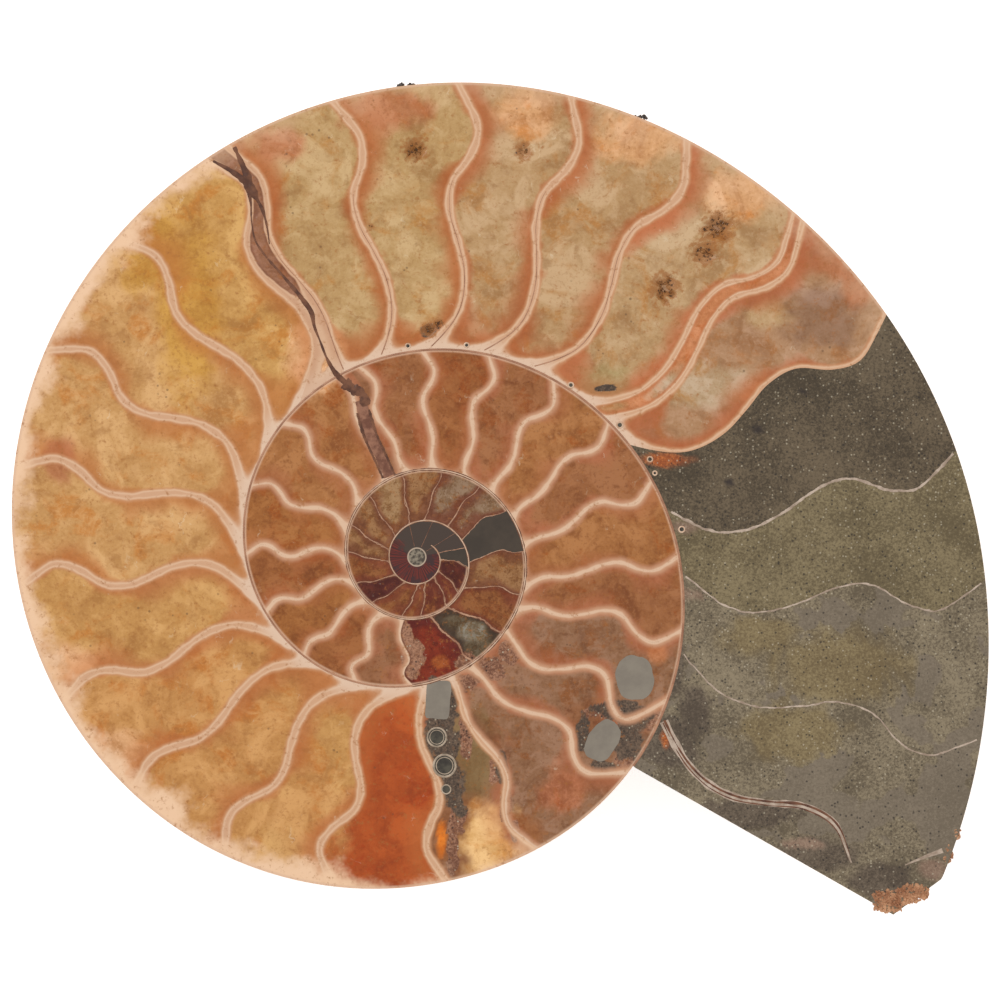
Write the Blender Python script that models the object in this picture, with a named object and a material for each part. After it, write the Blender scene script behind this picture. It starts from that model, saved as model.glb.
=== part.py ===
"""Half of a fossil ammonite: a shell turned to stone, sawn down its middle plane and polished.

Metres, +Z up. The polished face lies level on top, the natural side of the shell is below it, and
the origin is under the middle of the object, on the surface that it rests on.
"""

import math

import bmesh
import bpy
from mathutils import Vector

COLLECTION = "ammonite_half"
NODE = "ammonite_half"

# Driving dimensions. A turn angle runs along the spiral in degrees: 0 is the side towards -X,
# 90 the side towards +Y, and the shell widens as the angle grows.
KNOT_STEP = 45.0
FIRST_KNOT = -135.0
# The venter's radius about the spiral's axis, at each eighth of the last turn.
VENTER_RADII = (0.0370, 0.0404, 0.0448, 0.0494, 0.0537, 0.0580, 0.0624, 0.0694, 0.0784)
TURN_GROWTH = 2.35  # how many times wider the shell is after a full turn
WHORLS = 4  # whorls that reach the natural side

# The half width of the shell, from the polished middle plane to the flank.
FULL_HALF_WIDTH = 0.0160
FULL_RADIUS = 0.0760
WIDTH_POWER = 0.6  # the shell gets flatter for its size as it grows
UMBILICUS_SHARE = 0.24  # the umbilical seam's radius, as a share of the venter's
SHOULDER = 0.22  # the widest place, as a share of the way from the seam to the venter
SEAM_WIDTH = 0.5  # the half width at the seam, as a share of the widest
FLANK_POWER = 2.2
VENTER_POWER = 0.62
UMBILICUS_FLOOR = 0.0040
RIM_DEPTH = 0.0012  # the upright edge around the polished face

# The straight break that ends the body chamber, from the coil behind it out to the tip.
BREAK_START_TURN = 224.0
BREAK_START_RADIUS = 0.0372
TIP_TURN = 216.9
TIP_RADIUS = 0.0731
BREAK_COLUMNS = 9

# The mesh: columns around the outline, and rings from the middle out to it.
FIRST_TURN = -137.5
LAST_TURN = 211.5
COLUMNS = 79
RINGS = (0.07, 0.14, 0.20, 0.24, 0.28, 0.34, 0.42, 0.52, 0.62, 0.72, 0.81, 0.89, 0.95, 0.985)

STONE_COLOUR = (0.46, 0.27, 0.13, 1.0)
STONE_ROUGHNESS = 0.3


def venter_radius(turn):
    """The spiral's radius: a smooth curve through the knots, in the logarithm of the radius."""
    heights = [math.log(radius) for radius in VENTER_RADII]
    place = (turn - FIRST_KNOT) / KNOT_STEP
    left = min(max(math.floor(place), 0), len(heights) - 2)
    part = place - left

    def slope(knot):
        before = max(knot - 1, 0)
        after = min(knot + 1, len(heights) - 1)
        return (heights[after] - heights[before]) / (after - before)

    rise = heights[left + 1] - heights[left]
    ease = part * part * (3.0 - 2.0 * part)
    start = part * (1.0 - part) ** 2 * slope(left)
    end = part * part * (part - 1.0) * slope(left + 1)
    return math.exp(heights[left] + rise * ease + start + end)


def flank_shape(across):
    """The half width from the umbilical seam, 0, to the venter, 1, as a share of the widest."""
    if across < SHOULDER:
        return 1.0 - (1.0 - SEAM_WIDTH) * (1.0 - across / SHOULDER) ** 2
    outward = (across - SHOULDER) / (1.0 - SHOULDER)
    return (1.0 - min(outward, 1.0) ** FLANK_POWER) ** VENTER_POWER


def stone_depth(turn, radius):
    """How far the stone reaches below the polished face: the widest of the whorls that lie there."""
    depth = UMBILICUS_FLOOR
    venter = venter_radius(turn)
    for _ in range(WHORLS):
        seam = UMBILICUS_SHARE * venter
        if seam <= radius <= venter:
            half_width = FULL_HALF_WIDTH * (venter / FULL_RADIUS) ** WIDTH_POWER
            depth = max(depth, half_width * flank_shape((radius - seam) / (venter - seam)))
        venter /= TURN_GROWTH
    return depth


def direction(turn):
    return Vector((-math.cos(math.radians(turn)), math.sin(math.radians(turn)), 0.0))


def outline():
    """The columns around the polished face: the turn angle and the radius of each."""
    columns = []
    for number in range(COLUMNS):
        turn = FIRST_TURN + (LAST_TURN - FIRST_TURN) * number / (COLUMNS - 1)
        columns.append((turn, venter_radius(turn)))
    start = direction(BREAK_START_TURN) * BREAK_START_RADIUS
    tip = direction(TIP_TURN) * TIP_RADIUS
    for number in range(BREAK_COLUMNS):
        point = tip.lerp(start, number / (BREAK_COLUMNS - 1))
        turn = math.degrees(math.atan2(point.y, -point.x)) % 360.0
        columns.append((turn, point.length))
    return columns


def build_mesh():
    bm = bmesh.new()
    columns = outline()
    count = len(columns)
    rim_top = [bm.verts.new(direction(turn) * radius) for turn, radius in columns]
    rings = []
    for share in RINGS + (1.0,):
        ring = []
        for turn, radius in columns:
            depth = max(stone_depth(turn, radius * share), RIM_DEPTH)
            point = direction(turn) * radius * share
            point.z = -depth
            ring.append(bm.verts.new(point))
        rings.append(ring)
    middle = bm.verts.new((0.0, 0.0, -UMBILICUS_FLOOR))

    bm.faces.new(rim_top)
    walls = [rim_top] + rings[::-1]
    for upper, lower in zip(walls, walls[1:]):
        for here in range(count):
            there = (here + 1) % count
            bm.faces.new((upper[here], upper[there], lower[there], lower[here]))
    for here in range(count):
        there = (here + 1) % count
        bm.faces.new((middle, rings[0][here], rings[0][there]))
    bmesh.ops.recalc_face_normals(bm, faces=bm.faces)

    centre_on_box(bm)
    mesh = bpy.data.meshes.new(NODE)
    bm.to_mesh(mesh)
    bm.free()
    return mesh


def centre_on_box(bm):
    """Puts the origin under the middle of the stone, at its lowest point."""
    low = [min(vert.co[axis] for vert in bm.verts) for axis in range(3)]
    high = [max(vert.co[axis] for vert in bm.verts) for axis in range(3)]
    middle = Vector(((low[0] + high[0]) / 2, (low[1] + high[1]) / 2, low[2]))
    bmesh.ops.translate(bm, verts=bm.verts, vec=-middle)


def stone_material():
    material = bpy.data.materials.new("polished_fossil")
    material.use_nodes = True
    shader = material.node_tree.nodes["Principled BSDF"]
    shader.inputs["Base Color"].default_value = STONE_COLOUR
    shader.inputs["Roughness"].default_value = STONE_ROUGHNESS
    shader.inputs["Metallic"].default_value = 0.0
    return material


def main():
    for existing in list(bpy.data.objects):
        bpy.data.objects.remove(existing, do_unlink=True)
    collection = bpy.data.collections.new(COLLECTION)
    bpy.context.scene.collection.children.link(collection)

    stone = bpy.data.objects.new(NODE, build_mesh())
    stone.data.materials.append(stone_material())
    stone.data.shade_smooth()
    stone.data.set_sharp_from_angle(angle=math.radians(40.0))
    collection.objects.link(stone)


main()
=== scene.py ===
"""The looks of a sawn and polished ammonite half.

The flat face shows the chambers of the coil, filled with calcite, the thin walls between them and
the hardened mud of the body chamber. The domed side below is the natural shell.
Metres, +Z up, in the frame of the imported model.
"""

import math

import bpy
import numpy as np
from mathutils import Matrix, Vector


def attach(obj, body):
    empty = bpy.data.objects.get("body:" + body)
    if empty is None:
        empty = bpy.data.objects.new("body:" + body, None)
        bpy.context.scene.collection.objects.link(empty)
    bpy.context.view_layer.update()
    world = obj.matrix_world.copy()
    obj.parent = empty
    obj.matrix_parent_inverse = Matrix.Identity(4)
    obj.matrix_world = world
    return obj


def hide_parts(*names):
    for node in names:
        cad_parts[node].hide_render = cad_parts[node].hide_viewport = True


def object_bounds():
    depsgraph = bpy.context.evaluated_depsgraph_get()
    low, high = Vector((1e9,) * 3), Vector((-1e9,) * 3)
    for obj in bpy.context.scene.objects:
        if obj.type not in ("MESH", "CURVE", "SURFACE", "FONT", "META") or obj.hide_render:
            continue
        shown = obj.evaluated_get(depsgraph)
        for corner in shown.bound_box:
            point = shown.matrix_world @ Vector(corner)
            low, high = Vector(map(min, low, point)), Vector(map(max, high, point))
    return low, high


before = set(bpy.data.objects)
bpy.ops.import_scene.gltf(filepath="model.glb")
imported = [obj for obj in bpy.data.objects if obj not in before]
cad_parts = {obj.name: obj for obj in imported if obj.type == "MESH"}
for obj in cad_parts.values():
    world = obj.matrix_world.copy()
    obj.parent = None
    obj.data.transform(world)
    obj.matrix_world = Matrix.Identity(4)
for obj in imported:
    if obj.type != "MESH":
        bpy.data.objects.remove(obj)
cad_low, cad_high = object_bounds()

MM = 0.001
NODE = "ammonite_half"
BODY = "root"
FACE_Z = cad_high.z


# ---------------------------------------------------------------- the coil

# A turn angle runs along the spiral in degrees: 0 is the side towards -X, 90 the side towards +Y,
# and the shell grows with it. The radii of the outer wall, in mm, at each eighth of a turn:
KNOT_STEP = 45.0
FIRST_KNOT = -1350.0
WALL_RADII = (
    1.7, 2.2, 2.8, 3.15, 3.3, 3.35, 3.4, 3.65,
    4.35, 5.3, 6.3, 7.0, 7.6, 8.1, 8.7, 9.6,
    10.65, 11.95, 13.3, 14.2, 15.7, 18.2, 21.0, 23.3,
    25.3, 28.0, 32.2, 37.0, 40.4, 44.8, 49.4, 53.7,
    58.0, 62.4, 69.4, 78.4,
)
LAST_TURN = 211.5
TIP_TURN = 216.9
TIP_RADIUS = 73.1
NOTCH_TURN = 224.0
NOTCH_RADIUS = 37.2
COIL_END_TURN = -136.0

KNOTS = FIRST_KNOT + KNOT_STEP * np.arange(len(WALL_RADII))
LOG_RADII = np.log(WALL_RADII)


def smooth_curve(places, values, at):
    """A smooth curve through points at uneven places."""
    places = np.array(places)
    values = np.array(values)
    slopes = np.gradient(values, places)
    left = np.clip(np.searchsorted(places, at, side="right") - 1, 0, len(places) - 2)
    gap = places[left + 1] - places[left]
    part = (at - places[left]) / gap
    ease = part * part * (3.0 - 2.0 * part)
    start = part * (1.0 - part) ** 2 * gap * slopes[left]
    end = part * part * (part - 1.0) * gap * slopes[left + 1]
    return values[left] * (1.0 - ease) + values[left + 1] * ease + start + end


def wall_log(turn):
    """The logarithm of the outer wall's radius in mm: a smooth curve through the knots."""
    return smooth_curve(KNOTS, LOG_RADII, turn)


def wall_radius(turn):
    """The outer wall's radius in mm."""
    return np.exp(wall_log(turn))


def polar(turn, radius):
    """Points in mm about the coil's axis, from turn angles and radii."""
    angle = np.radians(turn)
    return np.stack([-np.cos(angle) * radius, np.sin(angle) * radius], axis=-1)


def coil_centre():
    """The coil's axis in the frame, so that the outline's middle is the middle of the box."""
    turns = np.linspace(COIL_END_TURN, LAST_TURN, 400)
    rim = polar(turns, wall_radius(turns))
    rim = np.vstack([rim, polar(TIP_TURN, TIP_RADIUS)])
    middle = (rim.min(axis=0) + rim.max(axis=0)) / 2 * MM
    return np.array([(cad_low.x + cad_high.x) / 2, (cad_low.y + cad_high.y) / 2]) - middle


AXIS = coil_centre()


def in_frame(points, z=0.0):
    """Points in mm about the coil's axis, as points in the frame at z metres from the face."""
    points = np.asarray(points, float)
    heights = np.broadcast_to(np.asarray(z, float), points.shape[:-1])
    return np.concatenate([points * MM + AXIS, (heights + FACE_Z)[..., None]], axis=-1)


# ---------------------------------------------------------------- the chamber walls

# A chamber wall swings as it crosses the coil from the inner wall, 0, to the outer wall, 1.
WAVE_PLACES = (0.0, 0.1, 0.2, 0.3, 0.4, 0.5, 0.62, 0.72, 0.8, 0.88, 0.95, 1.0)
WAVE_DEGREES = (0.0, 1.2, 2.2, 2.7, 2.3, 1.0, -0.6, -0.3, 1.9, 2.6, 1.2, 0.0)
FOOT_SHARE = 0.25


def smooth_path(corners, count=60):
    """A smooth path through a few points in mm."""
    corners = np.array(corners)
    steps = np.hypot(*np.diff(corners, axis=0).T)
    places = np.concatenate([[0.0], np.cumsum(steps)])
    at = np.linspace(0.0, places[-1], count)
    return np.stack([smooth_curve(places, corners[:, axis], at) for axis in (0, 1)], axis=-1)


class Septum:
    """One chamber wall: where it meets the outer wall, how far it swings, leans and flares."""

    def __init__(self, turn, wave=1.1, lean=0.0, foot=0.0, arch=0.0):
        self.turn = turn
        self.wave = wave
        self.lean = lean
        self.foot = foot
        self.arch = arch

    def turns(self, across):
        """The turn angle at each place across the coil."""
        flare = np.clip((FOOT_SHARE - across) / FOOT_SHARE, 0.0, 1.0) ** 2
        swing = self.wave * smooth_curve(WAVE_PLACES, WAVE_DEGREES, across)
        bow = self.arch * 4.0 * across * (1.0 - across)
        return self.turn + swing + self.lean * (1.0 - across) + self.foot * flare - bow

    def line(self, first=0.0, last=1.0, count=60):
        """Points in mm along the wall, from one share of the way across to another."""
        across = np.linspace(first, last, count)
        return across_coil(self.turns(across), across)


def across_coil(turn, across):
    """Points in mm at a share of the way from the inner wall to the outer wall."""
    low = wall_log(turn - 360.0)
    radius = np.exp(low + across * (wall_log(turn) - low))
    return polar(turn, radius)


# ---------------------------------------------------------------- colours


def srgb(red, green, blue):
    """A linear colour from the 0 to 255 values that a colour picker shows."""
    channels = np.array([red, green, blue]) / 255.0
    low = channels / 12.92
    high = ((channels + 0.055) / 1.055) ** 2.4
    return tuple(np.where(channels <= 0.04045, low, high)) + (1.0,)


# A chamber's filling: the colour of its middle, and of the stained band along its walls.
FILLINGS = {
    "amber": (srgb(170, 74, 22), srgb(182, 92, 38)),
    "honey": (srgb(196, 138, 76), srgb(188, 116, 62)),
    "honey_brown": (srgb(198, 144, 80), srgb(188, 118, 66)),
    "golden": (srgb(202, 150, 90), srgb(190, 122, 66)),
    "yellow": (srgb(200, 148, 80), srgb(188, 120, 60)),
    "olive": (srgb(190, 151, 98), srgb(180, 106, 56)),
    "olive_pale": (srgb(187, 147, 100), srgb(180, 106, 60)),
    "peach": (srgb(190, 152, 106), srgb(188, 110, 66)),
    "rose_brown": (srgb(144, 100, 68), srgb(168, 100, 64)),
    "tawny": (srgb(150, 88, 42), srgb(168, 98, 54)),
    "russet": (srgb(152, 94, 52), srgb(168, 98, 60)),
    "umber": (srgb(140, 88, 52), srgb(164, 98, 62)),
    "olive_dark": (srgb(128, 96, 56), srgb(136, 88, 56)),
    "pale_peach": (srgb(226, 174, 108), srgb(222, 164, 104)),
    "amber_bright": (srgb(222, 120, 30), srgb(206, 104, 40)),
    "sage": (srgb(176, 148, 98), srgb(176, 120, 74)),
    "yellow_deep": (srgb(194, 138, 58), srgb(190, 122, 54)),
    "russet_deep": (srgb(176, 108, 66), srgb(180, 104, 64)),
    "grey_green": (srgb(92, 74, 50), srgb(66, 48, 32)),
    "red": (srgb(118, 36, 10), srgb(92, 24, 14)),
    "wine": (srgb(88, 34, 18), srgb(76, 26, 18)),
    "orange": (srgb(134, 78, 36), srgb(120, 58, 30)),
    "orange_red": (srgb(126, 66, 28), srgb(104, 42, 24)),
    "straw": (srgb(144, 98, 56), srgb(120, 70, 40)),
    "sand": (srgb(152, 112, 70), srgb(126, 76, 44)),
    "grey_pink": (srgb(136, 104, 74), srgb(116, 66, 42)),
    "slate": (srgb(72, 53, 40), srgb(68, 50, 38)),
    "peach_bright": (srgb(220, 164, 112), srgb(212, 144, 92)),
    "amber_soft": (srgb(184, 118, 74), srgb(182, 108, 62)),
    "vein": (srgb(152, 102, 72), srgb(128, 80, 56)),
    "pale_core": (srgb(186, 154, 116), srgb(184, 108, 62)),
    "rose_core": (srgb(178, 134, 96), srgb(180, 104, 62)),
    "copper": (srgb(158, 96, 44), srgb(168, 100, 52)),
    "golden_brown": (srgb(164, 104, 54), srgb(168, 102, 58)),
    "mist": (srgb(128, 114, 92), srgb(106, 90, 68)),
    "rosy": (srgb(176, 108, 70), srgb(180, 106, 68)),
    "rose_grey": (srgb(152, 112, 82), srgb(170, 102, 66)),
    "wall_core": (srgb(198, 126, 78), srgb(194, 118, 72)),
    "ember": (srgb(150, 72, 24), srgb(128, 50, 20)),
}

CREAM = srgb(228, 188, 154)

# The chambers in the order that the shell grew: the wall behind each, and its filling. A wall is
# given by its turn, its wave, its lean, the flare of its foot and, where it bows, its arch.
CHAMBERS = [
    (Septum(-448.4, 1.2, 10.0, 0.0), "umber"),
    (Septum(-424.0, 1.5, 6.0, -2.0), "tawny"),
    (Septum(-401.1, 0.9, 2.7, -2.9), "copper"),
    (Septum(-380.1, 1.1, 3.0, -5.0), "tawny"),
    (Septum(-359.2, 1.4, 1.4, -5.8), "copper"),
    (Septum(-336.9, 1.3, 1.3, -4.1), "golden_brown"),
    (Septum(-315.2, 1.4, 0.4, -5.2), "golden_brown"),
    (Septum(-293.4, 0.6, 0.8, 0.0), "umber"),
    (Septum(-287.0, 1.1, 5.0, 5.7), "russet"),
    (Septum(-268.5, 1.2, 4.8, 4.5), "tawny"),
    (Septum(-250.7, 1.3, 5.6, 5.7), "russet"),
    (Septum(-232.5, 1.4, 6.5, 5.4), "golden_brown"),
    (Septum(-215.2, 1.1, 7.9, 5.2), "russet"),
    (Septum(-198.2, 1.3, 7.3, 4.8), "golden_brown"),
    (Septum(-180.3, 1.0, 7.9, 9.1), "russet"),
    (Septum(-164.7, 1.6, 4.0, 9.0), "rose_brown"),
    (Septum(-150.5, 2.6, 7.0, 3.0, -2.0), "rose_brown"),
    (Septum(-134.5, 1.8, 14.0, 5.0), "rose_brown"),
    (Septum(-112.5, 1.2, 3.0, 3.0), "umber"),
    (Septum(-95.2, 1.2, 1.8, -2.9), "amber"),
    (Septum(-75.8, 1.6, 1.1, -9.0), "honey_brown"),
    (Septum(-57.2, 1.2, -0.2, -8.9), "honey"),
    (Septum(-39.6, 0.9, 0.6, -6.0), "honey"),
    (Septum(-22.3, 1.0, -0.2, -10.0), "honey_brown"),
    (Septum(-4.4, 1.3, -0.9, -9.6), "golden"),
    (Septum(12.4, 1.1, 0.1, -10.6), "golden"),
    (Septum(29.0, 1.3, -1.0, -10.6), "golden"),
    (Septum(46.6, 1.05, -2.3, -6.7), "yellow"),
    (Septum(62.2, 1.25, -0.9, -9.0), "vein"),
    (Septum(65.0, 0.85, 2.2, 1.5), "olive"),
    (Septum(79.5, 0.95, 3.1, -3.2), "olive"),
    (Septum(94.9, 1.1, 3.1, -5.0), "olive_pale"),
    (Septum(108.4, 0.95, 4.6, -6.0), "olive_pale"),
    (Septum(122.9, 0.95, 3.5, -5.8), "peach"),
    (Septum(137.6, 1.0, 4.5, -3.3), "wall_core"),
    (Septum(138.7, 1.0, 7.6, -3.3), "rose_core"),
    (Septum(152.7, 1.1, 4.5, -5.2), "mud_dark"),
    (Septum(168.8, 1.05, 5.2, -5.0), "mud_olive"),
    (Septum(182.3, 1.1, 5.7, -5.1), "mud_mixed"),
    (Septum(197.8, 1.1, 4.8, -3.4), "mud_mixed"),
    (Septum(212.3, 1.3, 3.0, -2.3), "mud_mixed"),
]


# ---------------------------------------------------------------- meshes

FILLING_DEPTH = 0.0012  # how far a filling's block reaches below the face
SHARP_ANGLE = 35.0  # degrees past which an edge is shaded as sharp


class Blocks:
    """Closed blocks gathered into one mesh, with values at their points for the material."""

    def __init__(self):
        self.points = []
        self.faces = []
        self.values = {}
        self.count = 0

    def add(self, points, faces, **values):
        """One more block. A value is one number for it all, or a number or colour for each point."""
        self.points.append(points)
        self.faces.extend([[corner + self.count for corner in face] for face in faces])
        self.count += len(points)
        for name, value in values.items():
            value = np.asarray(value, float)
            if value.ndim != 2:
                value = np.broadcast_to(value, (len(points),) + value.shape[1:])
            self.values.setdefault(name, []).append(value)

    def piece(self, name, material):
        """The gathered blocks as one finished piece."""
        mesh = bpy.data.meshes.new(name)
        mesh.from_pydata(np.vstack(self.points).tolist(), [], self.faces)
        for label, parts in self.values.items():
            whole = np.concatenate(parts).astype(np.float32)
            kind = "FLOAT" if whole.ndim == 1 else "FLOAT_COLOR"
            attribute = mesh.attributes.new(label, kind, "POINT")
            attribute.data.foreach_set("value" if whole.ndim == 1 else "color", whole.ravel())
        mesh.materials.append(material)
        mesh.validate()
        return finish_piece(bpy.data.objects.new(name, mesh))


def finish_piece(piece):
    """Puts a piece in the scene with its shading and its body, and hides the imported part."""
    if piece.name not in bpy.context.scene.collection.objects:
        bpy.context.scene.collection.objects.link(piece)
    piece.data.shade_smooth()
    piece.data.set_sharp_from_angle(angle=math.radians(SHARP_ANGLE))
    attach(piece, BODY)
    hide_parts(NODE)
    return piece


def distance_to_line(points, line):
    """The distance in mm from each point to the nearest part of a line through points."""
    nearest = np.full(len(points), np.inf)
    for start, end in zip(line, line[1:]):
        run = end - start
        length = max(float(run @ run), 1e-12)
        along = np.clip(((points - start) @ run) / length, 0.0, 1.0)
        gap = points - (start + along[:, None] * run)
        nearest = np.minimum(nearest, np.einsum("ij,ij->i", gap, gap))
    return np.sqrt(nearest)


def soft_nearest(distances, softness):
    """The least of several distances, rounded where two are alike, as where two walls meet."""
    stack = np.stack(distances)
    low = stack.min(axis=0)
    return low - softness * np.log(np.exp((low - stack) / softness).sum(axis=0))


def grid_faces(across, along):
    """The four-cornered faces of a grid of points, looking up."""
    faces = []
    for row in range(across):
        for column in range(along):
            corner = row * (along + 1) + column
            ahead = corner + along + 1
            faces.append([corner, ahead, ahead + 1, corner + 1])
    return faces


def rim_of_grid(across, along):
    """The grid's outer points, in order round it."""
    step = along + 1
    first = [row * step for row in range(across + 1)]
    second = [across * step + column for column in range(1, along + 1)]
    third = [row * step + along for row in range(across - 1, -1, -1)]
    fourth = list(range(along - 1, 0, -1))
    return first + second + third + fourth


def hang_below(top, faces, rim, depth):
    """A closed block: the top's faces, upright sides below its rim, and a plain bottom."""
    low = top[rim].copy()
    low[:, 2] = FACE_Z - depth
    count = len(rim)
    first = len(top)
    closed = list(faces)
    for here in range(count):
        there = (here + 1) % count
        closed.append([rim[here], first + here, first + there, rim[there]])
    closed.append(list(range(first + count - 1, first - 1, -1)))
    return np.vstack([top, low]), closed


# ---------------------------------------------------------------- places on the face

GRAIN = 0.42  # mm between the points of a filling's top

# The seeds of the uneven edges: each spot of a kind takes the next one.
FIRST_POCKET_SEED = 40
FIRST_SPOT_SEED = 80
FIRST_TINT_SEED = 140
FIRST_MUD_TINT_SEED = 240

# Open pockets lined with small dark crystals: place in mm about the coil's axis, size, depth.
POCKETS = [
    ((-0.2, 49.9), 1.25, 0.7),
    ((13.0, 49.9), 0.9, 0.5),
    ((36.9, 40.4), 1.6, 0.9),
    ((35.3, 37.4), 1.3, 0.6),
    ((30.4, 33.0), 1.5, 0.9),
    ((-5.6, 40.6), 0.35, 0.25),
    ((1.4, 27.8), 0.75, 0.4),
    ((2.6, 28.6), 0.6, 0.3),
]


def wobble(points, scale, seed):
    """A smooth uneven value about 0 at each point, the same each run."""
    rng = np.random.default_rng(seed)
    total = np.zeros(len(points))
    for octave in range(4):
        for _ in range(3):
            heading = rng.uniform(0.0, 2.0 * math.pi)
            phase = rng.uniform(0.0, 2.0 * math.pi)
            direction = np.array([math.cos(heading), math.sin(heading)])
            pitch = 2.0 * math.pi * 1.9 ** octave / scale
            total += np.sin(points @ direction * pitch + phase) / 1.6 ** octave
    return total / 4.0


def ragged_distance(points, place, reach, raggedness, scale, seed):
    """How far each point is from a place, as an uneven share of the place's reach."""
    away = np.hypot(*((points - np.array(place)) / np.array(reach)).T)
    return away + raggedness * wobble(points, scale, seed)


def pocket_depths(points):
    """How deep in mm the pockets are at each point, and how much of a pocket's stain it has."""
    depth = np.zeros(len(points))
    stain = np.zeros(len(points))
    for seed, (place, size, deep) in enumerate(POCKETS, start=FIRST_POCKET_SEED):
        ragged = ragged_distance(points, place, size, 0.45, 1.3, seed)
        depth = np.maximum(depth, deep * np.clip(1.35 * (1.0 - ragged), 0.0, 1.0))
        stain = np.maximum(stain, np.clip(1.7 - ragged, 0.0, 1.0))
    return depth, stain


BREAK_LINE = np.array([polar(NOTCH_TURN, NOTCH_RADIUS), polar(TIP_TURN, TIP_RADIUS)])
NEAR_BREAK = 0.05  # mm within which a point is on the straight break


class Fillings(Blocks):
    """The blocks that fill the chambers of one stretch of the coil."""

    def lay(self, grid, **values):
        """One block under a grid of points in mm, with its pockets sunk into it."""
        across = grid.shape[0] - 1
        along = grid.shape[1] - 1
        flat = grid.reshape(-1, 2)
        sunk, stain = pocket_depths(flat)
        top = in_frame(flat, -sunk * MM)
        rim = rim_of_grid(across, along)
        top[rim, 2] = FACE_Z
        points, faces = hang_below(top, grid_faces(across, along), rim, FILLING_DEPTH)
        spread = {
            "pocket": stain,
            "matrix": share_of_spots(flat, MATRIX_SPOTS),
            "granular": share_of_spots(flat, GRANULAR_SPOTS),
        }
        for name, value in values.items():
            value = np.asarray(value, float)
            if value.shape[:1] != (len(flat),):
                value = np.broadcast_to(value, (len(flat),) + value.shape)
            spread[name] = value
        spread = {name: np.concatenate([value, value[rim]]) for name, value in spread.items()}
        weathered = distance_to_line(flat[rim], BREAK_LINE) > NEAR_BREAK
        spread["side"] = np.concatenate([np.zeros(len(flat)), weathered])
        self.add(points, faces, **spread)

    def chamber(self, behind, ahead, colours, seed, grain, rim_glow=0.0, join=0.4, inner_start=0.0):
        """The filling between two walls, with the distances in mm that its material reads.

        Bands blend over the join where walls meet, and inner_start thins the inner wall's band.
        """
        height = float(wall_radius(ahead.turn) - wall_radius(ahead.turn - 360.0))
        width = math.radians(ahead.turn - behind.turn) * float(wall_radius(ahead.turn))
        along = max(8, round(height / grain))
        across = max(6, round(width * 0.8 / grain))
        places = np.linspace(0.0, 1.0, along + 1)
        shares = np.linspace(0.0, 1.0, across + 1)[:, None]
        turns = behind.turns(places) * (1.0 - shares) + ahead.turns(places) * shares
        grid = across_coil(turns, np.broadcast_to(places, turns.shape))
        flat = grid.reshape(-1, 2)
        back = distance_to_line(flat, behind.line())
        front = distance_to_line(flat, ahead.line())
        radii = np.hypot(*flat.T)
        inner = np.abs(radii - wall_radius(turns.ravel() - 360.0))
        outer = np.abs(wall_radius(turns.ravel()) - radii)
        middle, edge = painted(flat, colours)
        across_share = np.tile(places, across + 1)
        self.lay(
            grid,
            shell_gap=soft_nearest([back, front, inner + inner_start], join),
            rim_gap=outer,
            inner_gap=inner,
            stain_reach=stain_reach(back, front, across_share),
            rim_glow=rim_glow,
            seed=float(seed),
            middle_colour=middle,
            edge_colour=edge,
        )


def stain_reach(back, front, across):
    """How far in mm the iron stain reaches: behind a wall in the middle, ahead of it at its ends."""
    outer_end = np.clip((across - 0.58) / 0.2, 0.0, 1.0)
    foot = np.clip((0.3 - across) / 0.15, 0.0, 1.0)
    ends = outer_end + foot
    return np.where(back < front, 0.5 + 2.0 * ends, 0.5 + 1.6 * (1.0 - outer_end))


# Local colours in the fillings: place in mm, reach along x and y, the two colours.
TINTS = [
    ((6.6, -24.0), (3.4, 6.0), "olive_dark"),
    ((8.8, -35.3), (3.8, 4.8), "pale_peach"),
    ((3.0, -34.8), (0.6, 2.2), "amber_bright"),
    ((13.0, -33.5), (2.2, 2.4), "russet"),
    ((23.1, 20.9), (3.2, 3.0), "sage"),
    ((-28.0, 30.5), (4.0, 11.0), "yellow_deep"),
    ((-33.0, 38.0), (4.0, 6.0), "yellow_deep"),
    ((43.5, 30.0), (3.0, 2.0), "peach"),
    ((13.6, 54.5), (3.6, 3.6), "peach_bright"),
    ((-3.5, 54.8), (5.5, 2.6), "amber_soft"),
    ((27.0, 51.5), (5.0, 3.2), "peach_bright"),
    ((40.0, 44.5), (4.5, 3.0), "peach_bright"),
    ((-17.0, 50.5), (3.0, 2.4), "amber_soft"),
    ((29.6, -11.4), (1.2, 1.6), "amber_soft"),
    ((-12.6, 24.6), (3.4, 4.6), "peach_bright"),
    ((36.0, 21.0), (8.0, 2.6), "pale_core"),
    ((50.0, 29.5), (5.0, 4.0), "rose_grey"),
    ((-43.0, -13.0), (3.2, 2.4), "peach_bright"),
    ((-37.0, -24.0), (3.4, 3.0), "peach_bright"),
    ((-44.0, 12.0), (2.0, 3.0), "amber_soft"),
    ((47.0, 39.5), (2.0, 2.8), "russet_deep"),
    ((50.6, 36.4), (2.6, 2.2), "russet_deep"),
    ((53.8, 33.0), (2.0, 2.4), "russet_deep"),
    ((17.7, -28.7), (2.8, 3.2), "rosy"),
    ((-24.0, -31.0), (6.0, 5.0), "honey"),
    ((-13.0, -31.0), (5.0, 6.0), "honey"),
    ((6.9, -9.1), (1.9, 1.2), "mist"),
    ((2.8, -13.0), (1.2, 0.8), "ember"),
    ((21.0, -20.0), (2.6, 2.6), "umber"),
]


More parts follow.
